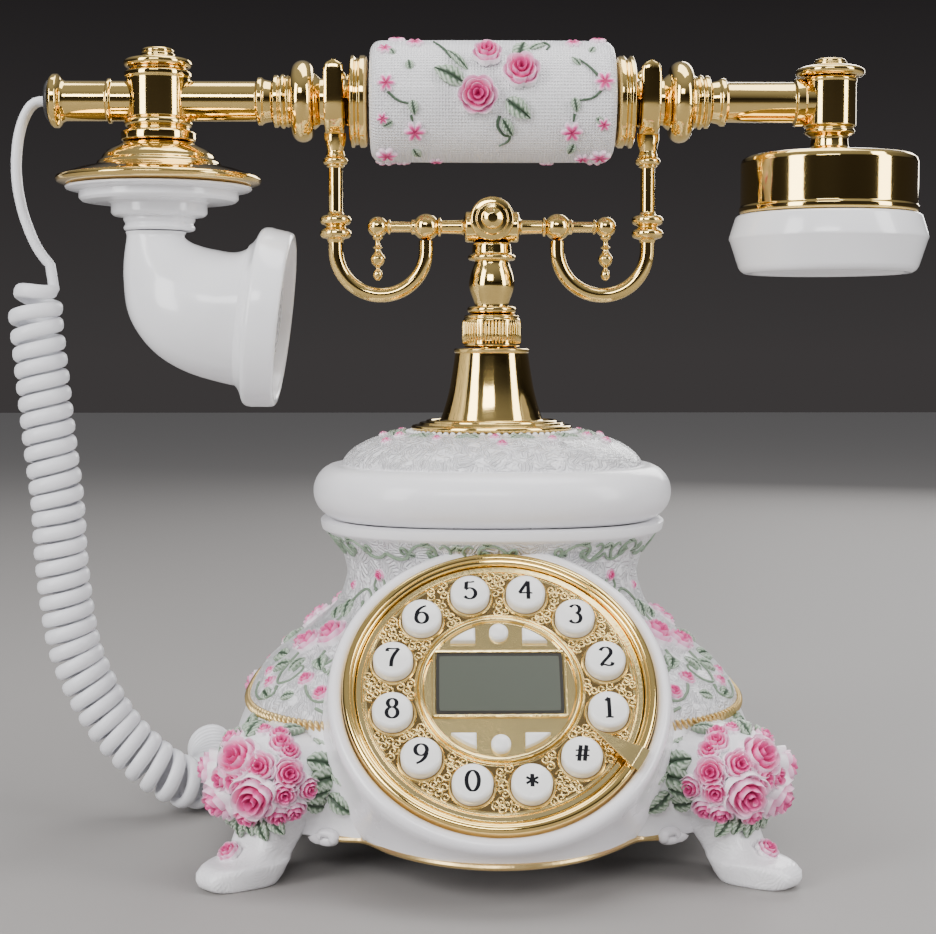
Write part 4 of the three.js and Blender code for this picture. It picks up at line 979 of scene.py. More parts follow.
STUCCO = stuccoed(finish("stucco_resin", (0.93, 0.92, 0.94), (0.86, 0.85, 0.88), 0.34, coat=0.25,
                         depth=0.1, scale=120, fine=700), 0.0007)

# %% [markdown]
# ## The base casting
# The base was cast in one shell: a rounded square that swells at the belly, with a mound on each
# corner for the rose clusters. Its skin is one height field round the column. For each direction
# and height the distance from the column is the larger of the square's and the mound's, with the
# join between them rounded. Everything that decorates the base asks the same function for its seat.

# %% Skin of the base
SKIN = [  # height, half width and squareness of the plan
    (8.5, 73.2, 3.4), (9.1, 74.2, 3.4), (12.5, 74.2, 3.4), (15.5, 74.75, 3.4), (21.6, 77.0, 3.3),
    (26.0, 77.6, 3.3), (30.4, 77.0, 3.2), (37.0, 74.5, 3.1), (42.2, 73.0, 3.0), (46.6, 69.75, 2.9),
    (51.8, 63.2, 2.8), (57.7, 56.1, 2.7), (64.75, 48.4, 2.6), (74.0, 44.8, 2.5), (79.4, 45.4, 2.4),
    (83.0, 46.8, 2.4), (86.2, 49.2, 2.4), (88.0, 50.6, 2.4), (88.9, 52.2, 2.4), (91.4, 52.7, 2.4),
    (92.0, 52.0, 2.4),
]
SKIN_CURVE = np.column_stack([flowing([(row[k], 0, 0) for row in SKIN], 400)[:, 0]
                              for k in range(3)])
MOUND_REACH, MOUND_Z, MOUND_R, MOUND_FLATTENED = 87.1, 26.0, 17.0, 0.75
STUCCO_FROM, STUCCO_TO = 39.0, 88.2  # heights between which the skin is rough
ROPE_Z = 39.4
WALL = 5


def skin_reach(turn, z):
    """Distance of the skin from the column, at angles in radians and heights in millimetres."""
    half = np.interp(z, SKIN_CURVE[:, 0], SKIN_CURVE[:, 1])
    square = np.interp(z, SKIN_CURVE[:, 0], SKIN_CURVE[:, 2])
    c, s = np.abs(np.cos(turn)), np.abs(np.sin(turn))
    body = half / (c ** square + s ** square) ** (1 / square)
    quarter = pi / 2
    away = (turn - quarter / 2) % quarter
    away = np.minimum(away, quarter - away)
    slice_r2 = MOUND_R ** 2 - ((z - MOUND_Z) / MOUND_FLATTENED) ** 2
    slice_r2 = slice_r2 - (MOUND_REACH * np.sin(away)) ** 2
    mound = MOUND_REACH * np.cos(away) + np.sqrt(np.maximum(slice_r2, 0))
    mound = np.where(slice_r2 > 0, mound, body - 12)
    soft = 1.6
    return soft * np.logaddexp(body / soft, mound / soft)


def skin_point(turn, z, lift=0.0):
    reach = skin_reach(turn, z) + lift
    return np.array((reach * cos(turn), reach * sin(turn), z))


def seat(degrees, z, spin=0.0, lift=0.0, reach=None):
    """A place on the skin: its own Z looks outwards and its Y upwards, turned by spin degrees."""
    turn = radians(degrees)
    step = 0.01
    here = skin_point(turn, z)
    across = skin_point(turn + step, z) - skin_point(turn - step, z)
    upward = skin_point(turn, z + 0.5) - skin_point(turn, z - 0.5)
    out = np.cross(across, upward)
    return place_on(here, out, upward, spin, lift)


def place_on(here, out, upward, spin=0.0, lift=0.0):
    """A place whose Z is the out direction and whose Y is as near as can be to upward."""
    out = out / np.linalg.norm(out)
    up = upward - out * (upward @ out)
    up /= np.linalg.norm(up)
    side = np.cross(up, out)
    c, s = cos(radians(spin)), sin(radians(spin))
    matrix = np.eye(4)
    matrix[:3, 0] = c * side + s * up
    matrix[:3, 1] = c * up - s * side
    matrix[:3, 2] = out
    matrix[:3, 3] = here + out * lift
    return matrix


# %% [markdown]
# ## The housing of the dial
# The dial leans back, so its housing is drawn in a plane of its own and each point of its rim is
# carried back until it meets the skin. The feet are stacks of plans, and the curls are swept.

# %% Dial plane
DIAL_LEAN = radians(39)
DIAL_CENTRE = np.array((0, -75, 51.3))
DIAL_OUT = np.array((0, -cos(DIAL_LEAN), sin(DIAL_LEAN)))
DIAL_UP = np.array((0, sin(DIAL_LEAN), cos(DIAL_LEAN)))
DIAL = np.eye(4)
DIAL[:3, 0], DIAL[:3, 1], DIAL[:3, 2], DIAL[:3, 3] = (1, 0, 0), DIAL_UP, DIAL_OUT, DIAL_CENTRE
BEZEL_R, BEZEL_INNER_R, BOSS_R = 42.7, 39.4, 46.8


def boss():
    """The round housing of the dial: a rim, a wall that runs back into the skin, and a fillet."""
    turns = whole_turn(144)
    rows = [(BEZEL_R + 0.3, -9.0), (BEZEL_R + 0.3, -0.9), (BEZEL_R + 0.9, -0.2),
            (BOSS_R - 1.7, -0.1),
            (BOSS_R - 0.6, -0.7), (BOSS_R, -2.0)]
    rings = []
    for r, h in rows:
        rings.append(DIAL_CENTRE + r * np.cos(turns)[:, None] * np.array((1, 0, 0))
                     + r * np.sin(turns)[:, None] * DIAL_UP + h * DIAL_OUT)
    start = rings[-1]
    steps = np.arange(0, 60, 0.4)
    depth = []
    for p in start:
        track = p - steps[:, None] * DIAL_OUT
        z = np.clip(track[:, 2], SKIN[0][0], 92)
        gap = np.hypot(track[:, 0], track[:, 1]) - skin_reach(np.arctan2(track[:, 1], track[:, 0]),
                                                              z)
        inside = np.nonzero(gap < 0)[0]
        depth.append(steps[inside[0]] if len(inside) else 34.0)
    to_apron = (start[:, 2] - SKIN[0][0]) / DIAL_OUT[2]
    depth = np.minimum(np.array(depth), to_apron)
    out = (np.cos(turns)[:, None] * np.array((1, 0, 0)) + np.sin(turns)[:, None] * DIAL_UP)
    for share in (0.2, 0.4, 0.55, 0.7, 0.8, 0.88, 0.94, 1.0):
        flare = 4.5 * max(0, share - 0.35) ** 2 * np.clip(depth / 12, 0.15, 1)
        ring = start - (depth * share)[:, None] * DIAL_OUT + flare[:, None] * out
        ring[:, 2] = np.maximum(ring[:, 2], SKIN[0][0])
        rings.append(ring)
    rings.append(rings[-1] * (0.75, 0.6, 1))
    return grid(rings, capped=True)


def scroll_foot(degrees):
    """A cabriole foot: a stack of plans, from inside the casting down to a curled toe."""
    levels = [  # height, inner reach, outer reach, half width
        (27, 66, 97, 12.2), (22, 68, 99, 12.0), (17, 73, 98.5, 11.0), (13, 78.0, 97.6, 9.6),
        (9.5, 82.0, 97.8, 8.8), (6.5, 85.0, 99.4, 8.5), (4.6, 86.8, 101.8, 8.8),
              (3.6, 87.8, 104.4, 9.6),
        (3.2, 88.2, 108.6, 10.2), (2.7, 88.6, 111.2, 10.4), (1.4, 89.4, 113.0, 10.2),
        (-0.4, 90.2, 113.3, 9.6), (-2.0, 91.4, 112.6, 9.0), (-2.9, 92.4, 111.4, 8.6),
        (-3.3, 93.2, 110.0, 8.0),
    ]
    c, s = cos(radians(degrees)), sin(radians(degrees))
    rings = []
    for z, inner, outer, half in levels:
        ring = squircle(z, 1, 4.4, 56)
        reach = (inner + outer) / 2 + ring[:, 0] * (outer - inner) / 2
        taper = 1 - 0.42 * np.clip((reach - 92) / 18.5, 0, 1) ** 1.5
        hollow = 1 - 0.10 * np.clip((96 - reach) / 20, 0, 1)
        across = ring[:, 1] * half * taper * hollow
        rings.append(np.column_stack([c * reach - s * across, s * reach + c * across, ring[:, 2]]))
    return grid(rings)


def volute(degrees, side):
    """The small curl where the apron turns into a leg."""
    turn = radians(degrees)
    line = []
    for t in np.linspace(0, 1, 26):
        curl = 2.2 * pi * t
        r = 3.4 * (1 - 0.72 * t)
        line.append(skin_point(turn + side * (r * cos(curl)) / 78,
                               9.6 - r * sin(curl) * 0.55,
                               0.2 + 0.6 * t))
    return swept(line, np.linspace(1.9, 1.1, 26), 10)


def base_casting():
    shape = Shape()
    heights = np.unique(np.concatenate([np.linspace(8.5, 92, 116), [r[0] for r in SKIN]]))
    turns = whole_turn(360)
    rings, tints = [], []
    for z in (8.5, 20, 34, 44, 60, 76, 90, 92):  # the inside, from the open bottom to the lip
        half = np.interp(z, SKIN_CURVE[:, 0], SKIN_CURVE[:, 1]) - WALL
        rings.append(squircle(z, half, 2.8, 360))
        tints.append(0)
    for z in heights[::-1]:
        reach = skin_reach(turns, z)
        if z == heights[-1]:
            reach = reach - 1.0
        rings.append(np.column_stack([reach * np.cos(turns), reach * np.sin(turns),
                                      np.full(360, z)]))
        tints.append(np.clip((z - STUCCO_FROM) / 1.5, 0, 1) * np.clip((STUCCO_TO - z) / 0.6, 0, 1))
    rings.append(rings[0])
    tints.append(0)
    shape.add(grid(rings, capped=False), STUCCO, tint=np.repeat(tints, 360))
    shape.add(boss(), RESIN)
    for degrees in (45, 135, 225, 315):
        shape.add(scroll_foot(degrees), STUCCO, tint=0.1)
        shape.add(volute(degrees - 10.5, 1), RESIN)
        shape.add(volute(degrees + 10.5, -1), RESIN)
    return shape.make("base_casting", "base", "pearl_resin", "body_casting", sharp=48)


base_casting()


EDGE_Z = 8.9


def gilt_edge():
    """A gilded band along the lower edge of each side, between the corner curls."""
    shape = Shape()
    for middle in (0, 90, 180):
        line = [skin_point(radians(middle + d), 9.6, 0.35) for d in np.linspace(-33, 33, 60)]
        shape.add(swept(line, 1.25, 10, flat=0.45, up=(0, 0, 1)), GILT_ROPE)
    front = []
    for x in np.linspace(-50, 50, 90):
        wall = sqrt(max((BOSS_R + 0.8) ** 2 - x * x, 0))
        back = (EDGE_Z - DIAL_CENTRE[2] + wall * DIAL_UP[2]) / DIAL_OUT[2]
        boss_y = DIAL_CENTRE[1] - wall * DIAL_UP[1] + min(back, -2.0) * DIAL_OUT[1]
        skin_y = -sqrt(max(skin_reach(atan2(-74, x), EDGE_Z) ** 2 - x * x, 0))
        front.append((x, min(boss_y, skin_y) if abs(x) < BOSS_R - 1 else skin_y, EDGE_Z))
    front = flowing([tuple(p) for p in front[::6] + [front[-1]]], 110)
    shape.add(swept(front, 1.3, 10, flat=0.8, up=(0, 0, 1)), GILT_ROPE)
    return shape.make("gilt_edge", "base", "embossed_gold")


gilt_edge()

# %% [markdown]
# ## The lid
# The lid is a fat glossy bead with a shallow stuccoed dome on it. The plan goes from a rounded
# square at the bead to a circle under the gilded flange, so each ring of the stack gets its own
# squareness as well as its own size.

# %% Lid
LID_LOW, LID_TOP = limits("lid")[0][2], limits("lid")[1][2]
BEAD_HALF, BEAD_HEIGHT, DOME_HALF, LID_FLAT_R = 54.9, 15.7, 45.9, 25.2


def lid_levels():
    """Rows of height, half width, squareness and roughness, from the lid's underside to its top."""
    rows = [(LID_LOW + 4, 40, 2.3, 0), (LID_LOW, 47.4, 2.4, 0), (LID_LOW, 49.6, 2.4, 0)]
    middle = LID_LOW + BEAD_HEIGHT / 2
    for t in np.radians(np.linspace(-78, 84, 25)):
        rows.append((middle + BEAD_HEIGHT / 2 * sin(t),
                     BEAD_HALF - BEAD_HEIGHT / 2 * (1 - cos(t)) * 0.9, 2.4, 0))
    top = rows[-1][0]
    rows += [(top - 0.1, DOME_HALF + 1.2, 2.4, 0), (top + 0.1, DOME_HALF + 0.3, 2.4, 0.2)]
    for u in np.linspace(0, 1, 22):
        share = sin(u * pi / 2)
        half = DOME_HALF + (LID_FLAT_R - DOME_HALF) * (1 - cos(u * pi / 2)) ** 0.9
        rows.append((top + 0.9 + (LID_TOP - top - 0.9) * share ** 1.15, half, 2.4 - 0.4 * u, 1))
    rows += [(LID_TOP, LID_FLAT_R - 2, 2, 0), (LID_TOP, 5, 2, 0), (LID_TOP - 5, 5, 2, 0),
             (LID_TOP - 5, 40 * 0.5, 2, 0), (LID_LOW + 12, 36, 2.2, 0), (LID_LOW + 4, 40, 2.3, 0)]
    return rows


LID_ROWS = lid_levels()


def make_lid():
    rings = [squircle(z, half, square, 240) for z, half, square, _ in LID_ROWS]
    tints = np.repeat([row[3] for row in LID_ROWS], 240)
    shape = Shape().add(grid(rings, capped=False), STUCCO, tint=tints)
    return shape.make("lid_casting", "base", "pearl_resin", "lid", sharp=50)


make_lid()
print("lid:", round(LID_TOP - LID_LOW, 1), "mm high")

# %% [markdown]
# ## Things that repeat
# Pearls, rope strands and the ribs of the nut are one small shape repeated along a path, which is
# a job for Geometry Nodes. One tree does all three: it walks the path in equal steps, puts an
# ellipsoid at each step, turned with the path and then tilted, and makes the copies real. A second
# tree drops tiny spiral tubes over a surface, which is how the dial gets its filigree.

# %% Geometry Nodes trees


def new_tree(name, inputs):
    """A Geometry Nodes tree with a geometry in and out, and the named inputs given."""
    tree = bpy.data.node_groups.new(name, "GeometryNodeTree")
    tree.interface.new_socket("Geometry", in_out="INPUT", socket_type="NodeSocketGeometry")
    for label, kind, value in inputs:
        socket = tree.interface.new_socket(label, in_out="INPUT", socket_type=kind)
        if value is not None:
            socket.default_value = value
    tree.interface.new_socket("Geometry", in_out="OUTPUT", socket_type="NodeSocketGeometry")
    return tree, tree.nodes.new("NodeGroupInput"), tree.nodes.new("NodeGroupOutput")


def ending(tree, given, result, last):
    """Makes the copies real and gives them their material."""
    real = tree.nodes.new("GeometryNodeRealizeInstances")
    paint = tree.nodes.new("GeometryNodeSetMaterial")
    smooth = tree.nodes.new("GeometryNodeSetShadeSmooth")
    tree.links.new(last, real.inputs[0])
    wire(tree, (real, 0, smooth, 0), (smooth, 0, paint, "Geometry"),
         (given, "Material", paint, "Material"), (paint, 0, result, 0))


def beads_tree():
    tree, given, result = new_tree("Beads Along Path", [
        ("Count", "NodeSocketInt", 40), ("Size", "NodeSocketVector", (0.001, 0.001, 0.001)),
        ("Tilt", "NodeSocketVector", (0, 0, 0)), ("Material", "NodeSocketMaterial", None)])
    curve = tree.nodes.new("GeometryNodeMeshToCurve")
    upright = node(tree, "GeometryNodeSetCurveNormal", mode="Z_UP")
    steps = node(tree, "GeometryNodeCurveToPoints", mode="COUNT")
    bead = node(tree, "GeometryNodeMeshUVSphere", Segments=10, Rings=7, Radius=1.0)
    turn = node(tree, "FunctionNodeRotateRotation", rotation_space="LOCAL")
    tilt = tree.nodes.new("FunctionNodeEulerToRotation")
    copies = tree.nodes.new("GeometryNodeInstanceOnPoints")
    wire(tree, (given, "Geometry", curve, "Mesh"), (curve, 0, upright, "Curve"),
         (upright, 0, steps, "Curve"), (given, "Count", steps, "Count"),
         (steps, "Points", copies, "Points"), (steps, "Rotation", turn, "Rotation"),
         (given, "Tilt", tilt, 0), (tilt, 0, turn, "Rotate By"), (turn, 0, copies, "Rotation"),
         (bead, "Mesh", copies, "Instance"), (given, "Size", copies, "Scale"))
    ending(tree, given, result, copies.outputs[0])
    return tree


def scrolls_tree():
    tree, given, result = new_tree("Scattered Scrolls", [
        ("Spacing", "NodeSocketFloat", 0.002), ("Scroll Radius", "NodeSocketFloat", 0.0014),
        ("Wire", "NodeSocketFloat", 0.0003), ("Seed", "NodeSocketInt", 3),
        ("Material", "NodeSocketMaterial", None)])
    scatter = node(tree, "GeometryNodeDistributePointsOnFaces", distribute_method="POISSON")
    scatter.inputs["Density Max"].default_value = 2.0e6
    spiral = tree.nodes.new("GeometryNodeCurveSpiral")
    preset(spiral, {"Resolution": 12, "Rotations": 1.35, "Start Radius": 0.0003, "Height": 0.0})
    round_wire = node(tree, "GeometryNodeCurvePrimitiveCircle", mode="RADIUS")
    round_wire.inputs["Resolution"].default_value = 5
    tube = tree.nodes.new("GeometryNodeCurveToMesh")
    tube.inputs["Fill Caps"].default_value = True
    copies = tree.nodes.new("GeometryNodeInstanceOnPoints")
    spin = node(tree, "FunctionNodeRotateRotation", rotation_space="LOCAL")
    chance = node(tree, "FunctionNodeRandomValue", data_type="FLOAT_VECTOR")
    chance.inputs["Max"].default_value = (0, 0, 2 * pi)
    angle = tree.nodes.new("FunctionNodeEulerToRotation")
    wire(tree, (given, "Geometry", scatter, "Mesh"), (given, "Spacing", scatter, "Distance Min"),
         (given, "Seed", scatter, "Seed"), (given, "Seed", chance, "Seed"),
         (given, "Scroll Radius", spiral, "End Radius"), (given, "Wire", round_wire, "Radius"),
         (spiral, 0, tube, "Curve"), (round_wire, 0, tube, "Profile Curve"),
         (scatter, "Points", copies, "Points"), (scatter, "Rotation", spin, "Rotation"),
         (chance, "Value", angle, 0), (angle, 0, spin, "Rotate By"), (spin, 0, copies, "Rotation"),
         (tube, 0, copies, "Instance"))
    ending(tree, given, result, copies.outputs[0])
    return tree


BEADS = beads_tree()
SCROLLS = scrolls_tree()


def grown(name, part, tree, body, slot, **values):
    """Runs a tree on a guide mesh and keeps the result as a plain piece."""
    points, edges, faces = part
    mesh = bpy.data.meshes.new(name + "_guide")
    mesh.from_pydata((np.asarray(points) * MM + np.array(COLUMN)).tolist(), edges, faces)
    guide = bpy.data.objects.new(name, mesh)
    bpy.context.scene.collection.objects.link(guide)
    modifier = guide.modifiers.new("repeat", "NODES")
    modifier.node_group = tree
    wanted = {key.replace("_", " ").title(): value for key, value in values.items()}
    for item in tree.interface.items_tree:
        if item.in_out == "INPUT" and item.name in wanted:
            modifier[item.identifier] = wanted[item.name]
    ready = guide.evaluated_get(bpy.context.evaluated_depsgraph_get())
    result = bpy.data.meshes.new_from_object(ready)
    guide.modifiers.clear()
    guide.data = result
    bpy.data.meshes.remove(mesh)
    print(name + ":", len(result.polygons), "faces")
    return settle(guide, body)


def round_path(points, closed=True):
    """A guide made of the edges between points, one after the other."""
    count = len(points)
    edges = [(i, (i + 1) % count) for i in range(count if closed else count - 1)]
    return points, edges, []


# %% [markdown]
# ## Ribs, pearls and rope
# The ribs of the nut, the pearls under the bell and the strands of the rope all repeat along a
# path, so one tree makes the three of them with different sizes and tilts.

# %% Nut, pearls and rope
nut_core().make("gilt_nut", "base", "polished_gold", "knurled_nut")


def circle(radius, z, count=120):
    return squircle(z, radius, 2, count)


nut_middle = (NUT_Z + 0.9 + NUT_TOP - 1.4) / 2
grown("nut_ribs", round_path(circle(NUT_R - 0.7, nut_middle)), BEADS, "base", "polished_gold",
      count=52, size=(0.00055, (NUT_TOP - 1.4 - NUT_Z - 0.9) / 2 * MM, 0.00042), tilt=(0, 0, 0),
      material=GOLD)
grown("pearl_ring", round_path(circle(25.9, LID_TOP - 0.8)), BEADS, "base", "pearl_resin",
      count=70, size=(0.0011, 0.0015, 0.00105), tilt=(0, 0, 0), material=GLOSS)


def trim_path(middle, spread, z, lift, count=90):
    """A path level with the skin across one corner."""
    return [skin_point(radians(middle + d), z, lift)
            for d in np.linspace(-spread, spread, count)]


ROPE_RUNS = {45: (45, 44.6), 135: (135, 44.6), 225: (211.4, 31.2), 315: (328.6, 31.2)}
for corner, (middle, spread) in ROPE_RUNS.items():
    grown(f"gilt_rope_{corner}",
          round_path(trim_path(middle, spread, ROPE_Z, 0.35), closed=False), BEADS, "base",
          "embossed_gold", count=int(spread * 1.45), size=(0.0011, 0.0018, 0.00058),
          tilt=(0.55, 0, 0), material=GILT_ROPE)

# %% [markdown]
# ## The dial
# The dial is an embossed gilt plate in a rounded ring, with a raised ring round the display. The
# whole assembly is drawn flat, looking down its own axis, and one matrix leans it back. The
# filigree is several hundred spiral wires half sunk in the plate; they are scattered with a least
# distance between them, and only where no key comes through.

# %% Plate, ring, bezel and finger stop
KEY_PITCH, KEY_R, RING_R = 30.0, 5.5, 21.4
KEY_ANGLES = {"4": 15, "3": 45, "2": 75, "1": 105, "pound": 135, "star": 165, "0": 195, "9": 225,
              "8": 255, "7": 285, "6": 315, "5": 345}
PLATE_R = 39.1


def clock(radius, degrees):
    t = radians(degrees)
    return radius * sin(t), radius * cos(t)


def dial_plate():
    shape = Shape()
    plate = [(0, -1.5), (PLATE_R, -1.5), (PLATE_R, -0.2), (PLATE_R - 0.3, 0), (PLATE_R - 1.5, 0),
             (PLATE_R - 1.7, 0.5), (PLATE_R - 2.1, 0.55), (PLATE_R - 2.3, 0.0),
             (PLATE_R - 2.9, 0.0),
             (RING_R + 1.6, 0.0), (RING_R + 1.4, 0.5), (RING_R + 1.1, 0.55), (RING_R + 0.9, 0.1),
             *[(RING_R + 0.75 * cos(t), 0.15 + 1.2 * sin(t))
               for t in np.linspace(0.1, pi - 0.1, 9)], (RING_R - 0.9, 0.1), (0, 0.1)]
    shape.add(turned(plate, "z", (0, 0, 0), 160, 0.1), PALE_GOLD, DIAL)
    # The sunk ring under the filigree is dark gold, which is painted shade between the scrolls.
    ground = [(RING_R + 1.8, -0.3), (PLATE_R - 2.8, -0.3), (PLATE_R - 2.9, 0.04),
              (RING_R + 1.9, 0.04),
              (RING_R + 1.8, -0.3)]
    shape.add(turned(ground, "z", (0, 0, 0), 160, 0), SHADED_GILT_GROUND, DIAL)
    for degrees in KEY_ANGLES.values():
        x, y = clock(KEY_PITCH, degrees)
        collar = [(KEY_R + 0.2, -0.3), (KEY_R + 1.0, -0.3), (KEY_R + 1.0, 0.1), (KEY_R + 0.75, 0.4),
                  (KEY_R + 0.4, 0.35), (KEY_R + 0.2, -0.1), (KEY_R + 0.2, -0.3)]
        shape.add(turned(collar, "z", (x, y, 0), 40, 0), PALE_GOLD, DIAL)
    frame_half = (17.9, 9.9)
    corners = [(-1, -1), (1, -1), (1, 1), (-1, 1), (-1, -1)]
    border = [(sx * frame_half[0], 1.5 + sy * frame_half[1], 0.3) for sx, sy in corners]
    for a, b in zip(border, border[1:]):
        shape.add(swept([a, np.add(a, b) / 2, b], 0.5, 8, up=(0, 0, 1)), PALE_GOLD, DIAL)
    return shape.make("dial_plate_gilt", "base", "embossed_gold", "dial_plate")


def filigree_guide():
    """The ring of the plate that carries filigree, without the places of the keys."""
    points, faces = [], []
    radii = np.linspace(RING_R + 2.4, PLATE_R - 3.0, 26)
    turns = np.linspace(0, 360, 240, endpoint=False)
    for r in radii:
        for t in turns:
            x, y = clock(r, t)
            points.append(DIAL[:3, :3] @ np.array((x, y, 0.12)) + DIAL[:3, 3])
    keys = np.array([clock(KEY_PITCH, d) for d in KEY_ANGLES.values()])
    for k in range(len(radii) - 1):
        for i in range(240):
            j = (i + 1) % 240
            middle = np.array(clock((radii[k] + radii[k + 1]) / 2, (turns[i] + 0.75)))
            if np.linalg.norm(keys - middle, axis=1).min() > KEY_R + 1.9:
                faces.append((k * 240 + i, (k + 1) * 240 + i, (k + 1) * 240 + j, k * 240 + j))
    return points, [], faces


def bezel():
    profile = [(BEZEL_INNER_R, -8.6), (BEZEL_R, -8.6), (BEZEL_R, 0.6),
               *[(BEZEL_R - 1.25 + 1.25 * cos(t), 0.75 + 1.25 * sin(t))
                 for t in np.linspace(0.0, pi * 0.75, 9)],
               (BEZEL_R - 2.3, 1.1), (BEZEL_R - 2.6, 1.0), (BEZEL_R - 2.9, 0.85),
               (BEZEL_INNER_R, 0.3),
               (BEZEL_INNER_R, -8.6)]
    shape = Shape().add(turned(profile, "z", (0, 0, 0), 200, 0), GOLD, DIAL)
    return shape.make("gilt_bezel", "base", "polished_gold", "dial_bezel", sharp=40)


def finger_stop():
    """A thin gilded tongue, bent down at its outer edge into the ring."""
    tip, left, right = clock(28.0, 119.0), clock(42.0, 116.9), clock(42.0, 125.7)
    shape = Shape()
    outline = [tip, left, right]
    rings = []
    for shrink, z in ((0.95, 2.25), (1.0, 2.4), (1.0, 2.8), (0.95, 2.95)):
        middle = np.mean(outline, axis=0)
        ring = []
        for a, b in zip(outline, outline[1:] + outline[:1]):
            for t in np.linspace(0, 1, 9)[:-1]:
                ring.append((*(middle + (np.add(a, np.subtract(b, a) * t) - middle) * shrink), z))
        rings.append(ring)
    shape.add(grid(rings), PALE_GOLD, DIAL)
    lip = [[(*clock(r, 121.3 + d), z) for d in np.linspace(-4.4, 4.4, 12)] for r, z in
           ((40.6, 2.9), (43.9, 2.5), (43.9, 2.0), (40.6, 2.1), (40.6, 2.9))]
    points, faces, uvs = grid(lip, around=False)
    count = 12
    for k in (0, count - 1):
        faces.append(tuple(i * count + k for i in range(4)))
        uvs.append(((0, 0),) * 4)
    shape.add((points, faces, uvs), PALE_GOLD, DIAL)
    return shape.make("finger_stop_gilt", "base", "embossed_gold", "finger_stop")


dial_plate()
grown("dial_filigree", filigree_guide(), SCROLLS, "base", "embossed_gold", spacing=0.0017,
      scroll_radius=0.0014, wire=0.0003, seed=4, material=PALE_GOLD)
bezel()
finger_stop()


def window():
    shape = Shape()
    half = (17.3, 9.3)
    for grow, z0, z1, material in ((0, -1.0, 0.42, FRAME_BLACK), (-0.9, 0.3, 0.5, DISPLAY)):
        rings = []
        for k, z in ((1.0, z0), (1.0, z1 - 0.06), (0.995, z1)):
            ring = squircle(0, 1, 70, 64)
            rings.append(np.column_stack([ring[:, 0] * (half[0] + grow) * k,
                                          1.5 + ring[:, 1] * (half[1] + grow) * k,
                                          np.full(64, z)]))
        shape.add(grid(rings), material, DIAL)
    return shape.make("display_pane", "base", "display_glass", "display_window", sharp=30)


window()

# %% [markdown]
# ## Keys and their numerals
# Each key is its own piece because each key moves. The numerals are strokes of a broad pen: a
# skeleton is drawn as a few curves, and its width grows where the stroke runs upright
# and shrinks where it runs level, which is what gives roman figures their thick and thin. The
# strokes are laid on the crown of the key and sunk slightly into it.

# %% Numerals


def bow(cx, cy, rx, ry, start, end, count=18):
    """Part of an ellipse, in degrees from the right."""
    return [(cx + rx * cos(radians(t)), cy + ry * sin(radians(t)))
            for t in np.linspace(start, end, count)]


FIGURES = {
    "0": [bow(0, 0, 0.27, 0.48, 90, 450, 30)],
    "1": [[(-0.17, 0.34), (-0.08, 0.40), (0, 0.49)], [(0, 0.49), (0, 0), (0, -0.48)],
          [(-0.17, -0.48), (0, -0.47), (0.17, -0.48)]],
    "2": [bow(-0.01, 0.23, 0.24, 0.25, 165, -25, 16) + [(0.08, -0.06), (-0.10, -0.26),
                                                        (-0.25, -0.46)],
          [(-0.26, -0.46), (-0.10, -0.42), (0.10, -0.46), (0.25, -0.42), (0.29, -0.30)]],
    "3": [bow(-0.01, 0.25, 0.22, 0.23, 155, -80, 16), bow(-0.02, -0.22, 0.26, 0.26, 85, -155, 18)],
    "4": [[(0.10, 0.48), (-0.10, 0.16), (-0.30, -0.16)],
          [(-0.31, -0.17), (0, -0.16), (0.30, -0.17)],
          [(0.11, 0.49), (0.11, 0), (0.11, -0.48)]],
    "5": [[(-0.17, 0.46), (0, 0.43), (0.20, 0.47)], [(-0.17, 0.45), (-0.18, 0.25), (-0.20, 0.05)],
          bow(-0.02, -0.18, 0.27, 0.28, 135, -150, 20)],
    "6": [[(0.20, 0.46), (0.0, 0.36), (-0.17, 0.18), (-0.25, -0.05)],
          bow(0, -0.19, 0.26, 0.28, 90, 450, 26)],
    "7": [[(-0.26, 0.30), (-0.23, 0.44), (0.0, 0.43), (0.27, 0.45)],
          [(0.27, 0.45), (0.06, 0.12), (-0.05, -0.16), (-0.08, -0.48)]],
    "8": [bow(0, 0.25, 0.20, 0.22, 90, 450, 24), bow(0, -0.22, 0.25, 0.26, 90, 450, 26)],
    "9": [bow(0, 0.19, 0.26, 0.28, 90, 450, 26),
          [(0.25, 0.05), (0.17, -0.18), (0.0, -0.36), (-0.20, -0.46)]],
    "star": [[(0, 0.30), (0, 0), (0, -0.30)], [(-0.26, 0.15), (0, 0), (0.26, -0.15)],
             [(-0.26, -0.15), (0, 0), (0.26, 0.15)]],
    "pound": [[(-0.06, 0.38), (-0.12, 0), (-0.17, -0.38)], [(0.19, 0.38), (0.13, 0), (0.08, -0.38)],
              [(-0.30, 0.13), (0, 0.14), (0.32, 0.13)],
              [(-0.32, -0.13), (0, -0.12), (0.30, -0.13)]],
}
FIGURE_HEIGHT = 6.0
KEY_TOP = 4.0


def crown(x, y):
    """Height of a key's top over its own middle."""
    return KEY_TOP - 0.75 * (x * x + y * y) / KEY_R ** 2


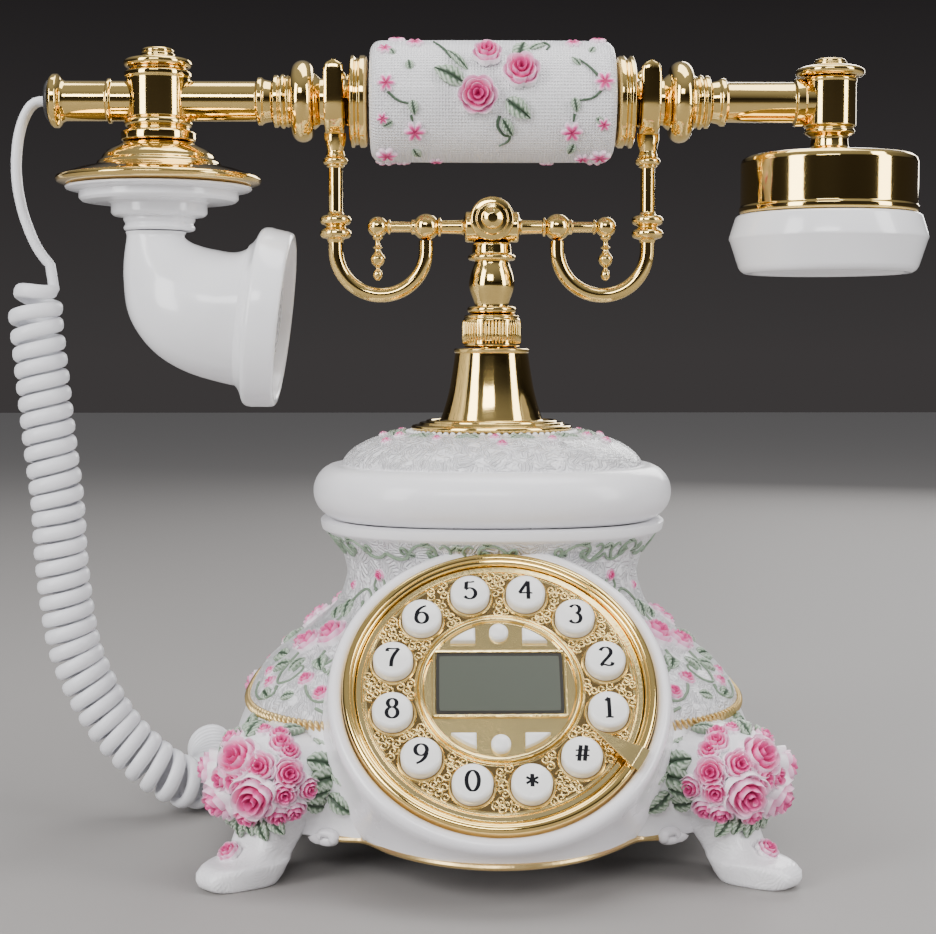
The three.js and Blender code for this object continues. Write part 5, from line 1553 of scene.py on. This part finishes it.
def pen_stroke(points, place, thick=0.48, thin=0.17):
    line = evenly(flowing([(x, y, 0) for x, y in points], 40), 0.045)[:, :2] * FIGURE_HEIGHT
    ahead = np.gradient(line, axis=0)
    ahead /= np.maximum(np.linalg.norm(ahead, axis=1), 1e-9)[:, None]
    half = np.sqrt((thick * ahead[:, 1]) ** 2 + (thin * ahead[:, 0]) ** 2) + 0.05
    side = np.column_stack([-ahead[:, 1], ahead[:, 0]])
    rings = []
    for p, s, w in zip(line, side, half):
        a, b = p - s * w, p + s * w
        rings.append([(*a, crown(*a) - 0.15), (*a, crown(*a) + 0.03), (*b, crown(*b) + 0.03),
                      (*b, crown(*b) - 0.15)])
    points3, faces, uvs = grid(rings)
    return points3 + np.array((*place, 0)), faces, uvs


def figure_key(label, degrees):
    x, y = clock(KEY_PITCH, degrees)
    top = [(r, crown(r, 0)) for r in np.linspace(KEY_R - 1.3, 0, 8)]
    edge = [(KEY_R - 1.3 + 1.25 * sin(t), crown(KEY_R - 1.3, 0) - 1.3 + 1.3 * cos(t))
            for t in np.linspace(pi / 2, 0.1, 8)]
    profile = [(0, -4.4), (KEY_R - 0.4, -4.4), (KEY_R - 0.05, -4.0), (KEY_R - 0.05, 1.4), *edge,
               *top]
    shape = Shape().add(turned(profile, "z", (x, y, 0), 56, 0), IVORY, DIAL)
    for points in FIGURES[label]:
        shape.add(pen_stroke(points, (x, y)), INK, DIAL)
    return shape.make("figure_key_" + label, "key_" + label, "key_ivory", "key_" + label)


for label, degrees in KEY_ANGLES.items():
    figure_key(label, degrees)


# %% [markdown]
# ## The six small keys
# Two are round and four are wedges cut from the disc inside the ring.

# %% The six small keys


def dot_key(name, y):
    profile = [(0, -4.4), (2.5, -4.4), (2.62, -4.2), (2.62, 1.2),
               *[(2.62 * cos(t), 1.2 + 1.25 * sin(t))
                 for t in np.linspace(0, pi / 2, 9)]]
    shape = Shape().add(turned(profile, "z", (0, y, 0), 40, 0), IVORY, DIAL)
    return shape.make("small_" + name, "key_" + name, "key_ivory", "key_" + name)


def wedge_key(name, right, up):
    """A key cut from the disc inside the ring by an upright and a level line."""
    radius, low_x, low_y = 19.3, 6.5, 14.0
    reach_x = sqrt(radius ** 2 - low_y ** 2)
    reach_y = sqrt(radius ** 2 - low_x ** 2)
    start, end = atan2(low_y, reach_x), atan2(reach_y, low_x)
    outline = [(low_x + t * (reach_x - low_x), low_y) for t in np.linspace(0, 1, 8)[:-1]]
    outline += [(radius * cos(t), radius * sin(t)) for t in np.linspace(start, end, 16)]
    outline += [(low_x, reach_y + t * (low_y - reach_y)) for t in np.linspace(0, 1, 8)[1:-1]]
    outline = np.array(outline) * (right, up)
    middle = outline.mean(axis=0)
    rings = []
    for share, z in ((1, -4.4), (1, 1.1), (0.985, 1.5), (0.93, 1.85), (0.80, 2.0)):
        rings.append(np.column_stack([middle + (outline - middle) * share,
                                      np.full(len(outline), z)]))
    shape = Shape().add(grid(rings), IVORY, DIAL)
    return shape.make("small_" + name, "key_" + name, "key_ivory", "key_" + name, sharp=50)


dot_key("dot_top", 17)
dot_key("dot_bottom", -17)
for vertical, up in (("top", 1), ("bottom", -1)):
    for sideways, right in (("left", -1), ("right", 1)):
        wedge_key(f"wedge_{vertical}_{sideways}", right, up)
print("keys:", len(KEY_ANGLES) + 6)

# %% [markdown]
# ## Roses, leaves and blossoms
# A moulded rose has no separate petals. It is a dome whose surface climbs to the rim of one petal,
# drops behind it and climbs again, so the rose here is a polar height field: four turns of petals
# with a different number in each turn, and a random start for each turn from a fixed seed. Leaves
# are ribbons folded along the vein, with a wavy edge, and blossoms are six-pointed stars.

# %% Ornaments
ROSE_TURNS = ((0.26, 3, 0.40, 0.80), (0.50, 4, 0.40, 0.74), (0.76, 5, 0.22, 0.56),
              (1.0, 6, 0.0, 0.32))


def rose(radius, seed, pink=1.0):
    """A rose lying in its own XY plane: the part and the tint of each point. The tint is the rose's
    paint, deepened by painted shade in the creases between petals.
    """
    luck = random.Random(seed)
    count = 40
    turns = whole_turn(count)
    rings, tints = [np.tile((0, 0, 0.5), (count, 1))], [np.full(count, 1.0)]
    inner = np.zeros(count)
    for outer, petals, low, high in ROSE_TURNS:
        along = (petals * (turns / (2 * pi) + luck.random())) % 1
        petal = np.sin(pi * along) ** 0.5 * (0.75 + 0.25 * along)
        edge = outer * (0.76 + 0.24 * petal)
        for t, rise in ((0.06, 0.0), (0.4, 0.30), (0.75, 0.75), (0.93, 1.0), (1.0, 0.95)):
            reach = inner + (edge - inner) * t
            height = low + (high * (0.66 + 0.2 * petal + 0.2 * along) - low) * rise
            rings.append(np.column_stack([reach * np.cos(turns), reach * np.sin(turns), height]))
            # Paint: a deep pink heart and paler outer petals. Painted shade: the deeper tint at
            # each petal's root (rise 0) and in the notches between petals (low petal).
            shade = (1.16 - 0.78 * outer) * (1 - rise) + (0.80 - 0.76 * outer) * rise
            tints.append(np.clip(np.full(count, shade) + 0.2 * (1 - petal), 0, 1) * pink)
        inner = edge
    rings.append(np.column_stack([inner * np.cos(turns), inner * np.sin(turns),
                                  np.full(count, -0.12)]))
    rings.append(np.tile((0, 0, -0.2), (count, 1)))
    tints += [np.zeros(count)] * 2
    return grid(np.array(rings) * radius, capped=False), np.concatenate(tints)


def leaf(length, width, seed=0):
    """A leaf growing along its own Y, folded on the vein and veined to the sides."""
    rings, tints = [], []
    across = np.array((-1, -0.72, -0.4, -0.12, 0, 0.12, 0.4, 0.72, 1))
    for u in np.linspace(0.02, 0.99, 17):
        notches = 1 + 0.10 * sin(38 * u + seed)
        half = width / 2 * sin(pi * u ** 0.8) ** 0.75 * notches
        veins = np.cos(2 * pi * (5.2 * u - 1.6 * np.abs(across)))
        arch = 0.16 * length * sin(pi * u)
        top = arch + width * (0.16 * np.abs(across) - 0.14 * across ** 2) + 0.035 * width * veins
        top[4] -= 0.05 * width
        up = np.column_stack([across * half, np.full(9, u * length), top])
        down = np.column_stack([across[::-1] * half * 0.96, np.full(9, u * length),
                                np.full(9, -0.5)])
        rings.append(np.vstack([up, down]))
        dark = np.clip(0.50 - 0.38 * veins, 0, 1) * (1 - 0.35 * np.abs(across))
        dark[3:6] = 0.85
        tints.append(np.concatenate([dark, np.full(9, 0.6)]))
    return grid(rings), np.concatenate(tints)


def blossom(radius, seed=0):
    """A small star of six petals, pink in the middle and along each petal."""
    turns = whole_turn(36)
    star = np.abs(np.cos(3 * turns + seed)) ** 0.7
    rings, tints = [np.tile((0, 0, 0.22), (36, 1))], [np.full(36, 1.0)]
    for t, height, shade in ((0.22, 0.34, 0.95), (0.5, 0.34, 0.75), (0.8, 0.28, 0.42),
                             (1, 0.14, 0.2),
                             (1, -0.2, 0.1)):
        reach = t * (0.42 + 0.58 * star)
        rings.append(np.column_stack([reach * np.cos(turns), reach * np.sin(turns),
                                      height * (0.4 + 0.6 * star) if t < 1 else np.full(36,
                                                                                        height)]))
        tints.append(np.clip(shade * (0.35 + 0.75 * star), 0, 1))
    rings.append(np.tile((0, 0, -0.25), (36, 1)))
    tints.append(np.zeros(36))
    return grid(np.array(rings) * radius, capped=False), np.concatenate(tints)


def put(shape, ornament, material, place):
    part, tint = ornament
    return shape.add(part, material, place, tint)


# %% [markdown]
# ## Ornaments of the base
# Each corner carries a cluster: a few large roses, smaller ones crowded round them, leaves that
# reach over the flanks and hang on the foot, and one rose by the toe. The shoulders carry two
# roses and some buds joined by vines. The clusters were modelled once and repeated, so one list
# of seats serves the four corners, mirrored from side to side.

# %% Corner clusters
CLUSTER_SCALE = 1.14  # the roses overlap by this much
FOOT_LEAVES = (-8.0, -4.6, -1.4, 1.8, 5.0, 8.2)  # steps across the foot
CLUSTER = [  # degrees from the corner, height, radius, lift
    (1.6, 31.6, 6.0, 0.8), (-2.4, 20.8, 6.0, 1.2), (4.6, 23.4, 6.2, 1.2), (8.6, 28.6, 4.4, 0.5),
    (4.2, 37.2, 3.0, 0.4), (7.4, 33.8, 3.2, 0.3), (-6.2, 27.0, 5.2, 0.8),
    (-3.4, 35.0, 3.6, 0.3), (-8.0, 18.6, 4.6, 0.6), (-0.6, 26.4, 3.8, 1.0), (0.4, 15.2, 3.8, 0.8),
    (8.0, 19.0, 3.8, 0.5), (-5.4, 13.8, 3.8, 0.7), (10.4, 24.4, 3.2, 0.4), (-9.4, 31.4, 3.6, 0.5),
    (1.0, 38.0, 2.4, 0.4), (-10.4, 22.6, 3.8, 0.5), (6.4, 18.6, 4.0, 1.0), (5.2, 30.2, 4.4, 1.0),
    (5.8, 35.4, 3.4, 0.6), (8.2, 24.0, 3.8, 0.8), (2.0, 18.0, 4.2, 1.2), (2.0, 26.6, 3.6, 1.2),
    (-1.6, 14.6, 3.6, 1.0),
]
CLUSTER_LEAVES = [  # degrees from the corner, height, length, width, spin
    (9.6, 31.6, 10, 6, -50), (10.6, 26.0, 10.5, 6.2, -82), (9.6, 22.5, 9, 5.4, -118),
    (9.2, 19.5, 9, 5.2, -160), (-7.5, 30.5, 9.5, 7, 32), (-9.5, 25, 8, 6, 62),
    (10.8, 30, 7, 4, -70), (-9, 17, 8, 5, 130), (-5, 37, 8, 5.4, 40), (-1, 36.6, 8, 5.4, 8),
    (-7.5, 34.5, 10, 6.5, 25), (-10, 33, 9, 6, 45), (-3.5, 33.0, 8, 5.5, 15),
    (3, 38.0, 7.5, 5, -30), (7.4, 36.0, 9, 5.6, -48), (11.4, 33.5, 9.5, 5.6, -62),
    (12.8, 28, 9, 5.4, -95), (12.2, 22, 9, 5.4, -130), (-12, 29, 9, 6, 70),
]
SHOULDER = [  # degrees from the corner, height, radius
    (-9.0, 59.6, 5.6), (-17.5, 56.5, 4.8), (-2.1, 49.3, 3.0), (5.2, 47.0, 3.0), (-24, 55.5, 3.6),
    (11, 44.2, 2.2), (-14, 46.5, 2.6), (-21, 48, 2.4),
]
SHOULDER_LEAVES = [  # degrees from the corner, height, length, width, spin
    (-13.5, 64.0, 8.5, 5.2, 15), (-4.0, 58.6, 7.5, 5, -65), (-16.0, 51.5, 7.5, 4.8, 130),
    (-5.6, 54.6, 7.5, 4.8, -130), (2.2, 51.0, 6, 4, -35), (-26, 52, 8, 5, 110),
    (-10, 43.6, 6, 3.6, 70), (9.0, 46.6, 5.5, 3.4, -80), (-20, 63, 7, 4.4, 40),
    (-11.5, 53.5, 6.5, 4.2, 170), (-2, 46, 5, 3, 120),
]
SHOULDER_VINES = [  # runs of (degrees from the corner, height)
    [(-6, 56), (-4.5, 53), (-2, 52.5), (0, 54.5), (1.8, 53.5), (1.2, 51.6), (-0.2, 52.2)],
    [(-2, 49), (2, 46.4), (5.5, 45.2), (9.5, 46.4), (11.5, 49), (10.4, 51.4), (8.4, 50.6),
     (9.0, 48.8)],
    [(-18, 54), (-15, 49.5), (-11, 47.2), (-7.5, 48.6), (-7.3, 51.2), (-9.4, 51.8), (-10.2, 50.2)],
    [(-16, 60), (-15, 66), (-11, 70.5), (-6, 72.8), (-2.5, 71.2), (-2.7, 68.2), (-5.4, 67.6),
     (-6, 69.4)],
    [(-4, 62), (0.5, 66), (3.2, 70.5), (2.4, 75.5), (-0.8, 76.6), (-2.2, 74.3), (-0.4, 72.8)],
    [(6, 43.6), (10.5, 42.4), (15, 43.2), (17.8, 46.0), (16.8, 48.8), (14.6, 48.2), (15.2, 46.4)],
    [(-22, 45), (-18.5, 43), (-13.5, 42.4), (-9, 44.5), (-9.8, 46.5)],
]


def corner_ornaments(corner, side):
    """Everything on one corner; side mirrors it."""
    shape = Shape()
    for k, (away, z, radius, lift) in enumerate(CLUSTER):
        put(shape, rose(radius * CLUSTER_SCALE, corner + k), ROSE,
            seat(corner + side * away, z, spin=37 * k, lift=lift - 0.3))
    foot = np.array((cos(radians(corner)), sin(radians(corner)), 0))
    across = np.array((-foot[1], foot[0], 0))
    toe_rose = foot * 102.0 + across * (-side * 2.5) + np.array((0, 0, 5.2))
    put(shape, rose(3.6, corner + 30, 0.95), ROSE,
        place_on(toe_rose, foot * 0.62 + np.array((0, 0, 0.78)), np.array((0, 0, 1.0)), 20))
    for k, (away, z, length, width, spin) in enumerate(CLUSTER_LEAVES):
        put(shape, leaf(length, width, k), LEAF, seat(corner + side * away, z, spin * side, 0.1))
    for k, off in enumerate(FOOT_LEAVES):
        height = np.array((0, 0, 15.6 + 1.2 * (k % 2)))
        root = foot * (98.6 - 0.03 * off * off) + across * off + height
        put(shape, leaf(6.8, 4.2, k), LEAF,
            place_on(root, foot + across * off * 0.05, np.array((0, 0, 1.0)), 180 + 5 * off, 0.2))
    for k, (away, z, radius) in enumerate(SHOULDER):
        put(shape, rose(radius, corner + 50 + k), ROSE, seat(corner + side * away, z, 25 * k, -0.1))
    for k, (away, z, length, width, spin) in enumerate(SHOULDER_LEAVES):
        put(shape, leaf(length, width, k), LEAF, seat(corner + side * away, z, spin * side, -0.1))
    for run in SHOULDER_VINES:
        guide = flowing([(away, z, 0) for away, z in run], 7 * len(run))
        line = [skin_point(radians(corner + side * a), z, 0.15) for a, z, _ in guide]
        taper = np.linspace(0.5, 0.34, len(line))
        taper[-4:] = 0.6
        shape.add(swept(line, taper, 6), LEAF, tint=0.55)
    return shape.make(f"corner_roses_{corner}", "base", "pearl_resin", sharp=60)


for corner, side in ((225, 1), (315, -1), (45, 1), (135, -1)):
    corner_ornaments(corner, side)

# %% [markdown]
# ## The border under the lid
# A green scrolling vine runs round the neck. It is one repeat, a wave with a curl at each end and
# three small leaves, drawn flat and wrapped round the base by the length of the way round.

# %% Border vine
BORDER_Z = 84.9
BORDER_REPEATS = 14
turns_round = np.linspace(0, 2 * pi, 1441)
walk = np.array([skin_point(t, BORDER_Z) for t in turns_round])
walked_round = np.concatenate([[0], np.linalg.norm(np.diff(walk, axis=0), axis=1).cumsum()])
REPEAT = walked_round[-1] / BORDER_REPEATS


def wrapped(distance, rise, lift=0.0):
    """The point at a distance round the base along the border, and a rise above its middle."""
    turn = np.interp(distance % walked_round[-1], walked_round, turns_round)
    return skin_point(turn, BORDER_Z + rise, lift)


def curl(cx, cy, radius, start, sweep, count=16):
    """A spiral that closes on its middle, in degrees."""
    out = []
    for t in np.linspace(0, 1, count):
        angle = radians(start + sweep * t)
        r = radius * (1 - 0.75 * t)
        out.append((cx + r * cos(angle), cy + r * sin(angle)))
    return out


def border_vine():
    shape = Shape()
    for k in range(BORDER_REPEATS):
        flip = 1 if k % 2 else -1
        middle = (k + 0.5) * REPEAT
        runs = [
            [(-0.5, -0.4), (-0.36, -1.6), (-0.22, -1.4), (-0.1, 0.6), (0.03, 1.9), (0.14, 1.6)],
            [(0.14, 1.6), *[(0.16 + x / REPEAT, y) for x, y in curl(0, 0.0, 1.75, 100, -430)]],
            [(-0.22, -1.4),
             *[(-0.22 + x / REPEAT, y - 0.2) for x, y in curl(0, 0.3, 1.5, -90, 380)]],
            [(0.1, 0.4), (0.26, -1.9), (0.4, -1.8), (0.5, -0.4)],
            [(0.33, -1.9), (0.42, 0.4), (0.36, 1.9), (0.29, 1.3)],
        ]
        for run in runs:
            guide = flowing([(u, v, 0) for u, v in run], 5 * len(run) + 4)
            line = [wrapped(middle + flip * u * REPEAT, v * 1.3, 0.1) for u, v, _ in guide]
            shape.add(swept(line, np.linspace(0.60, 0.38, len(line)), 6), LEAF, tint=0.52)
        for away, rise, spin in ((-0.06, -1.0, 60), (0.42, 1.0, -50), (0.05, 2.6, -75)):
            here = np.interp((middle + flip * away * REPEAT) % walked_round[-1], walked_round,
                             turns_round)
            put(shape, leaf(3.4, 1.9, k), LEAF,
                seat(math.degrees(here), BORDER_Z + rise, spin * flip, -0.15))
    for corner, side in ((225, 1), (315, -1), (45, 1), (135, -1)):
        put(shape, rose(2.1, corner + 90), ROSE, seat(corner + side * 0.4, 77.4, 0, -0.1))
        put(shape, rose(1.7, corner + 91), ROSE, seat(corner - side * 16, 73, 0, -0.1))
    return shape.make("border_vine", "base", "pearl_resin", sharp=60)


border_vine()

# %% [markdown]
# ## Buds on the lid
# Buds and leaves ring the dome below the bell, seated on the same rows that made the lid.

# %% Ornaments of the lid


def lid_place(degrees, u, spin=0.0):
    """A place on the dome, u going from its foot at 0 to the flange at 1."""
    rows = [row for row in LID_ROWS if row[3] == 1]
    k = min(int(u * (len(rows) - 1)), len(rows) - 2)
    turn = radians(degrees)

    def point(row, angle):
        c, s = abs(cos(angle)), abs(sin(angle))
        reach = row[1] / (c ** row[2] + s ** row[2]) ** (1 / row[2])
        return np.array((reach * cos(angle), reach * sin(angle), row[0]))

    here, above = point(rows[k], turn), point(rows[k + 1], turn)
    across = point(rows[k], turn + 0.02) - here
    return place_on(here, np.cross(across, above - here), above - here, spin, -0.15)


def lid_ornaments():
    shape = Shape()
    for k, degrees in enumerate(range(0, 360, 30)):
        front = degrees - 90
        if k % 2 == 0:
            put(shape, rose(1.9, k), ROSE, lid_place(front, 0.80))
            put(shape, rose(1.9, k + 20), ROSE, lid_place(front + 3, 0.58))
        else:
            put(shape, rose(1.6, k + 40), ROSE, lid_place(front, 0.74))
        for away, u, spin in ((-8, 0.78, 62), (8, 0.78, -62), (-14, 0.86, 70), (14, 0.86, -70)):
            put(shape, leaf(4.2, 1.9, k), LEAF, lid_place(front + away, u, spin))
    return shape.make("lid_ornaments", "base", "pearl_resin", sharp=60)


lid_ornaments()

# %% [markdown]
# ## The grip
# The grip is a moulded sleeve with a woven ground, three roses in the middle of each side and
# small blossoms round both ends. The weave follows the sleeve, so its threads read the UV map,
# which is in millimetres: one wave runs along the sleeve and one round it, and the higher of the
# two at each crossing is the thread on top.

# %% Woven finish


def weave_group():
    tree, given, result = new_group("Woven Threads", [("Thread", "NodeSocketFloat", 0.9)],
                                    [("Height", "NodeSocketFloat")])
    place = tree.nodes.new("ShaderNodeUVMap")
    split = tree.nodes.new("ShaderNodeSeparateXYZ")
    links = tree.links
    wire(tree, (place, "UV", split, 0))
    waves = []
    for axis in ("X", "Y"):
        share = node(tree, "ShaderNodeMath", operation="DIVIDE")
        turn = node(tree, "ShaderNodeMath", operation="MULTIPLY")
        turn.inputs[1].default_value = 2 * pi
        wave = node(tree, "ShaderNodeMath", operation="SINE")
        links.new(split.outputs[axis], share.inputs[0])
        wire(tree, (given, "Thread", share, 1), (share, 0, turn, 0), (turn, 0, wave, 0))
        waves.append(wave)
    higher = node(tree, "ShaderNodeMath", operation="MAXIMUM")
    links.new(waves[0].outputs[0], higher.inputs[0])
    links.new(waves[1].outputs[0], higher.inputs[1])
    wire(tree, (higher, 0, result, "Height"))
    return tree


WEAVE = weave_group()
WOVEN = finish("woven_resin", (0.93, 0.92, 0.94), (0.88, 0.87, 0.90), 0.34, coat=0.2, depth=0.05)
threads = WOVEN.node_tree.nodes.new("ShaderNodeGroup")
threads.node_tree = WEAVE
threads.inputs["Thread"].default_value = 0.95
thread_bump = node(WOVEN.node_tree, "ShaderNodeBump", Distance=0.00022, Strength=0.9)
WOVEN.node_tree.links.new(threads.outputs["Height"], thread_bump.inputs["Height"])
WOVEN.node_tree.links.new(WOVEN.node_tree.nodes["surface"].outputs["Normal"],
                          thread_bump.inputs["Normal"])
WOVEN.node_tree.links.new(thread_bump.outputs["Normal"],
                          WOVEN.node_tree.nodes["Principled BSDF"].inputs["Normal"])

# %% [markdown]
# ## The grip and its flowers
# The sleeve is turned, and its flowers are seated by how far along and how high up they sit. Both
# sides carry the same flowers.

# %% Grip and its flowers
GRIP_R, GRIP_HALF = 18.4, 37.1
GRIP_ROSES = [(-4.7, -0.4, 6.4), (8.3, 6.6, 6.0), (-1.9, 11.4, 4.8)]  # along, up, radius
GRIP_LEAVES = [  # along, up, length, width, spin
    (-8.5, 3.0, 10.5, 5.4, 62), (7.2, 10.6, 7.5, 5.0, -18), (3.6, -1.5, 9.5, 5.6, -128),
    (-7.5, 7.0, 9.5, 2.2, 42), (10.8, 14.0, 6.0, 2.2, -60), (2.6, -7.0, 6.5, 3.4, -150),
    (-24.2, -1.8, 4.6, 3.0, -170), (24.0, -1.0, 4.6, 2.8, -170), (-24.7, 7.2, 3.6, 2.6, 10),
    (26.0, 8.6, 4.2, 1.8, 40), (-24.0, -15.4, 4.6, 2.6, -150), (24.4, -14.0, 4.6, 2.6, 160),
    (-30, -8, 3.4, 2.2, 120), (30.5, -7, 3.4, 2.2, -120), (-29.5, 12.2, 3.4, 2.0, 30),
               (29, 13, 3.4, 2, -30),
]
GRIP_BLOSSOMS = [  # along, up, radius
    (-31.9, 3.0, 2.9), (-23.4, -10.8, 3.4), (33.0, 3.6, 3.2), (23.5, -10.8, 3.4),
                 (-23.4, 16.2, 2.8),
    (24.3, 16.2, 2.6), (-32, -16.8, 3.4), (32.6, -17.2, 3.4), (-32.5, 14.0, 2.4), (33, -8.8, 2.2),
    (-33, -7.2, 2.0), (27.5, -17.6, 2.6), (-17, -18.2, 2.2), (32, 17.6, 2.6), (-29, 17.9, 2.6),
]
GRIP_VINES = [
    [(1.8, -6.4), (1.2, -9.2), (3.0, -11.6), (5.2, -11.8), (5.4, -10.2), (4.0, -9.8)],
    [(5.0, -11.0), (4.6, -13.2), (1.8, -14.6)], [(-31.5, 0.5), (-28.5, -2.0), (-25.0, -3.0)],
    [(32.0, 1.0), (29.5, -1.2), (25.5, -2.0)], [(-24.6, -6.2), (-24.0, -8.0)],
    [(24.2, -5.8), (23.8, -8.0)],
    [(-12.5, 11.0), (-15.0, 14.2), (-17.8, 16.8)], [(31.0, 5.5), (28.5, 8.2), (25.5, 10.6)],
    [(13.0, 14.6), (15.4, 16.4), (17.0, 15.2), (16.0, 13.8)],
]


def grip_place(along, up, spin=0.0, back=1, lift=-0.2):
    """A place on the sleeve; back is 1 on the side towards the dial and -1 on the other."""
    rise = math.asin(max(-0.999, min(0.999, up / GRIP_R)))
    out = np.array((0, -back * cos(rise), sin(rise)))
    here = np.array((back * along, 0, AXIS_Z)) + GRIP_R * out
    upward = np.array((0, back * sin(rise), cos(rise)))
    return place_on(here, out, upward, spin, lift)


def grip():
    profile = [(5, -GRIP_HALF), (GRIP_R - 3.4, -GRIP_HALF),
               *arc(GRIP_R - 3.4, -GRIP_HALF + 3.2, 3.2, -90, 0, 9)]
    profile = profile[:-1] + [(GRIP_R - 0.2 + 0.2 * cos(x / GRIP_HALF * 1.4), x)
                              for x in np.linspace(-GRIP_HALF + 3.4, GRIP_HALF - 3.4, 28)]
    profile += arc(GRIP_R - 3.4, GRIP_HALF - 3.2, 3.2, 0, 90, 9) + [(5, GRIP_HALF), (5, -GRIP_HALF)]
    shape = Shape().add(turned(profile, "x", (0, 0, AXIS_Z), 144, 0), WOVEN)
    for back in (1, -1):
        for k, (along, up, radius) in enumerate(GRIP_ROSES):
            put(shape, rose(radius, 7 * k + back), ROSE,
                grip_place(along, up, 50 * k, back, 0.1 + 0.5 * k))
        for k, (along, up, length, width, spin) in enumerate(GRIP_LEAVES):
            put(shape, leaf(length, width, k), LEAF, grip_place(along, up, spin, back))
        for k, (along, up, radius) in enumerate(GRIP_BLOSSOMS):
            put(shape, blossom(radius, k), ROSE, grip_place(along, up, 20 * k, back, 0.0))
        for run in GRIP_VINES:
            guide = flowing([(a, u, 0) for a, u in run], 6 * len(run))
            line = [grip_place(a, u, 0, back, 0.1)[:3, 3] for a, u, _ in guide]
            shape.add(swept(line, np.linspace(0.5, 0.3, len(line)), 6), LEAF, tint=0.75)
    return shape.make("woven_grip", "handset", "woven_resin", "grip_sleeve", sharp=50)


grip()

# %% [markdown]
# ## What the frame still shows
# Some pieces are right as they come: the sockets at the back, the base plate, and the parts inside.
# They keep the CAD model's mesh and only get their finish.

# %% Finishes of the carried-over pieces
CARRIED = {
    "base_plate": STEEL, "line_socket": RUBBER, "cord_socket": IVORY, "key_board": CIRCUIT,
    "ringer_speaker": RUBBER, "hook_switch": RUBBER, "hook_spring": SPRING,
    "display_module": FRAME_BLACK, "receiver_capsule": RUBBER, "microphone": RUBBER,
}
for name, material in CARRIED.items():
    carried = NODES[name]
    carried.data.materials.clear()
    carried.data.materials.append(material)
left = [name for name, piece in NODES.items() if not piece.hide_render and name not in CARRIED]
print("carried over:", len(CARRIED), "still plain:", left)
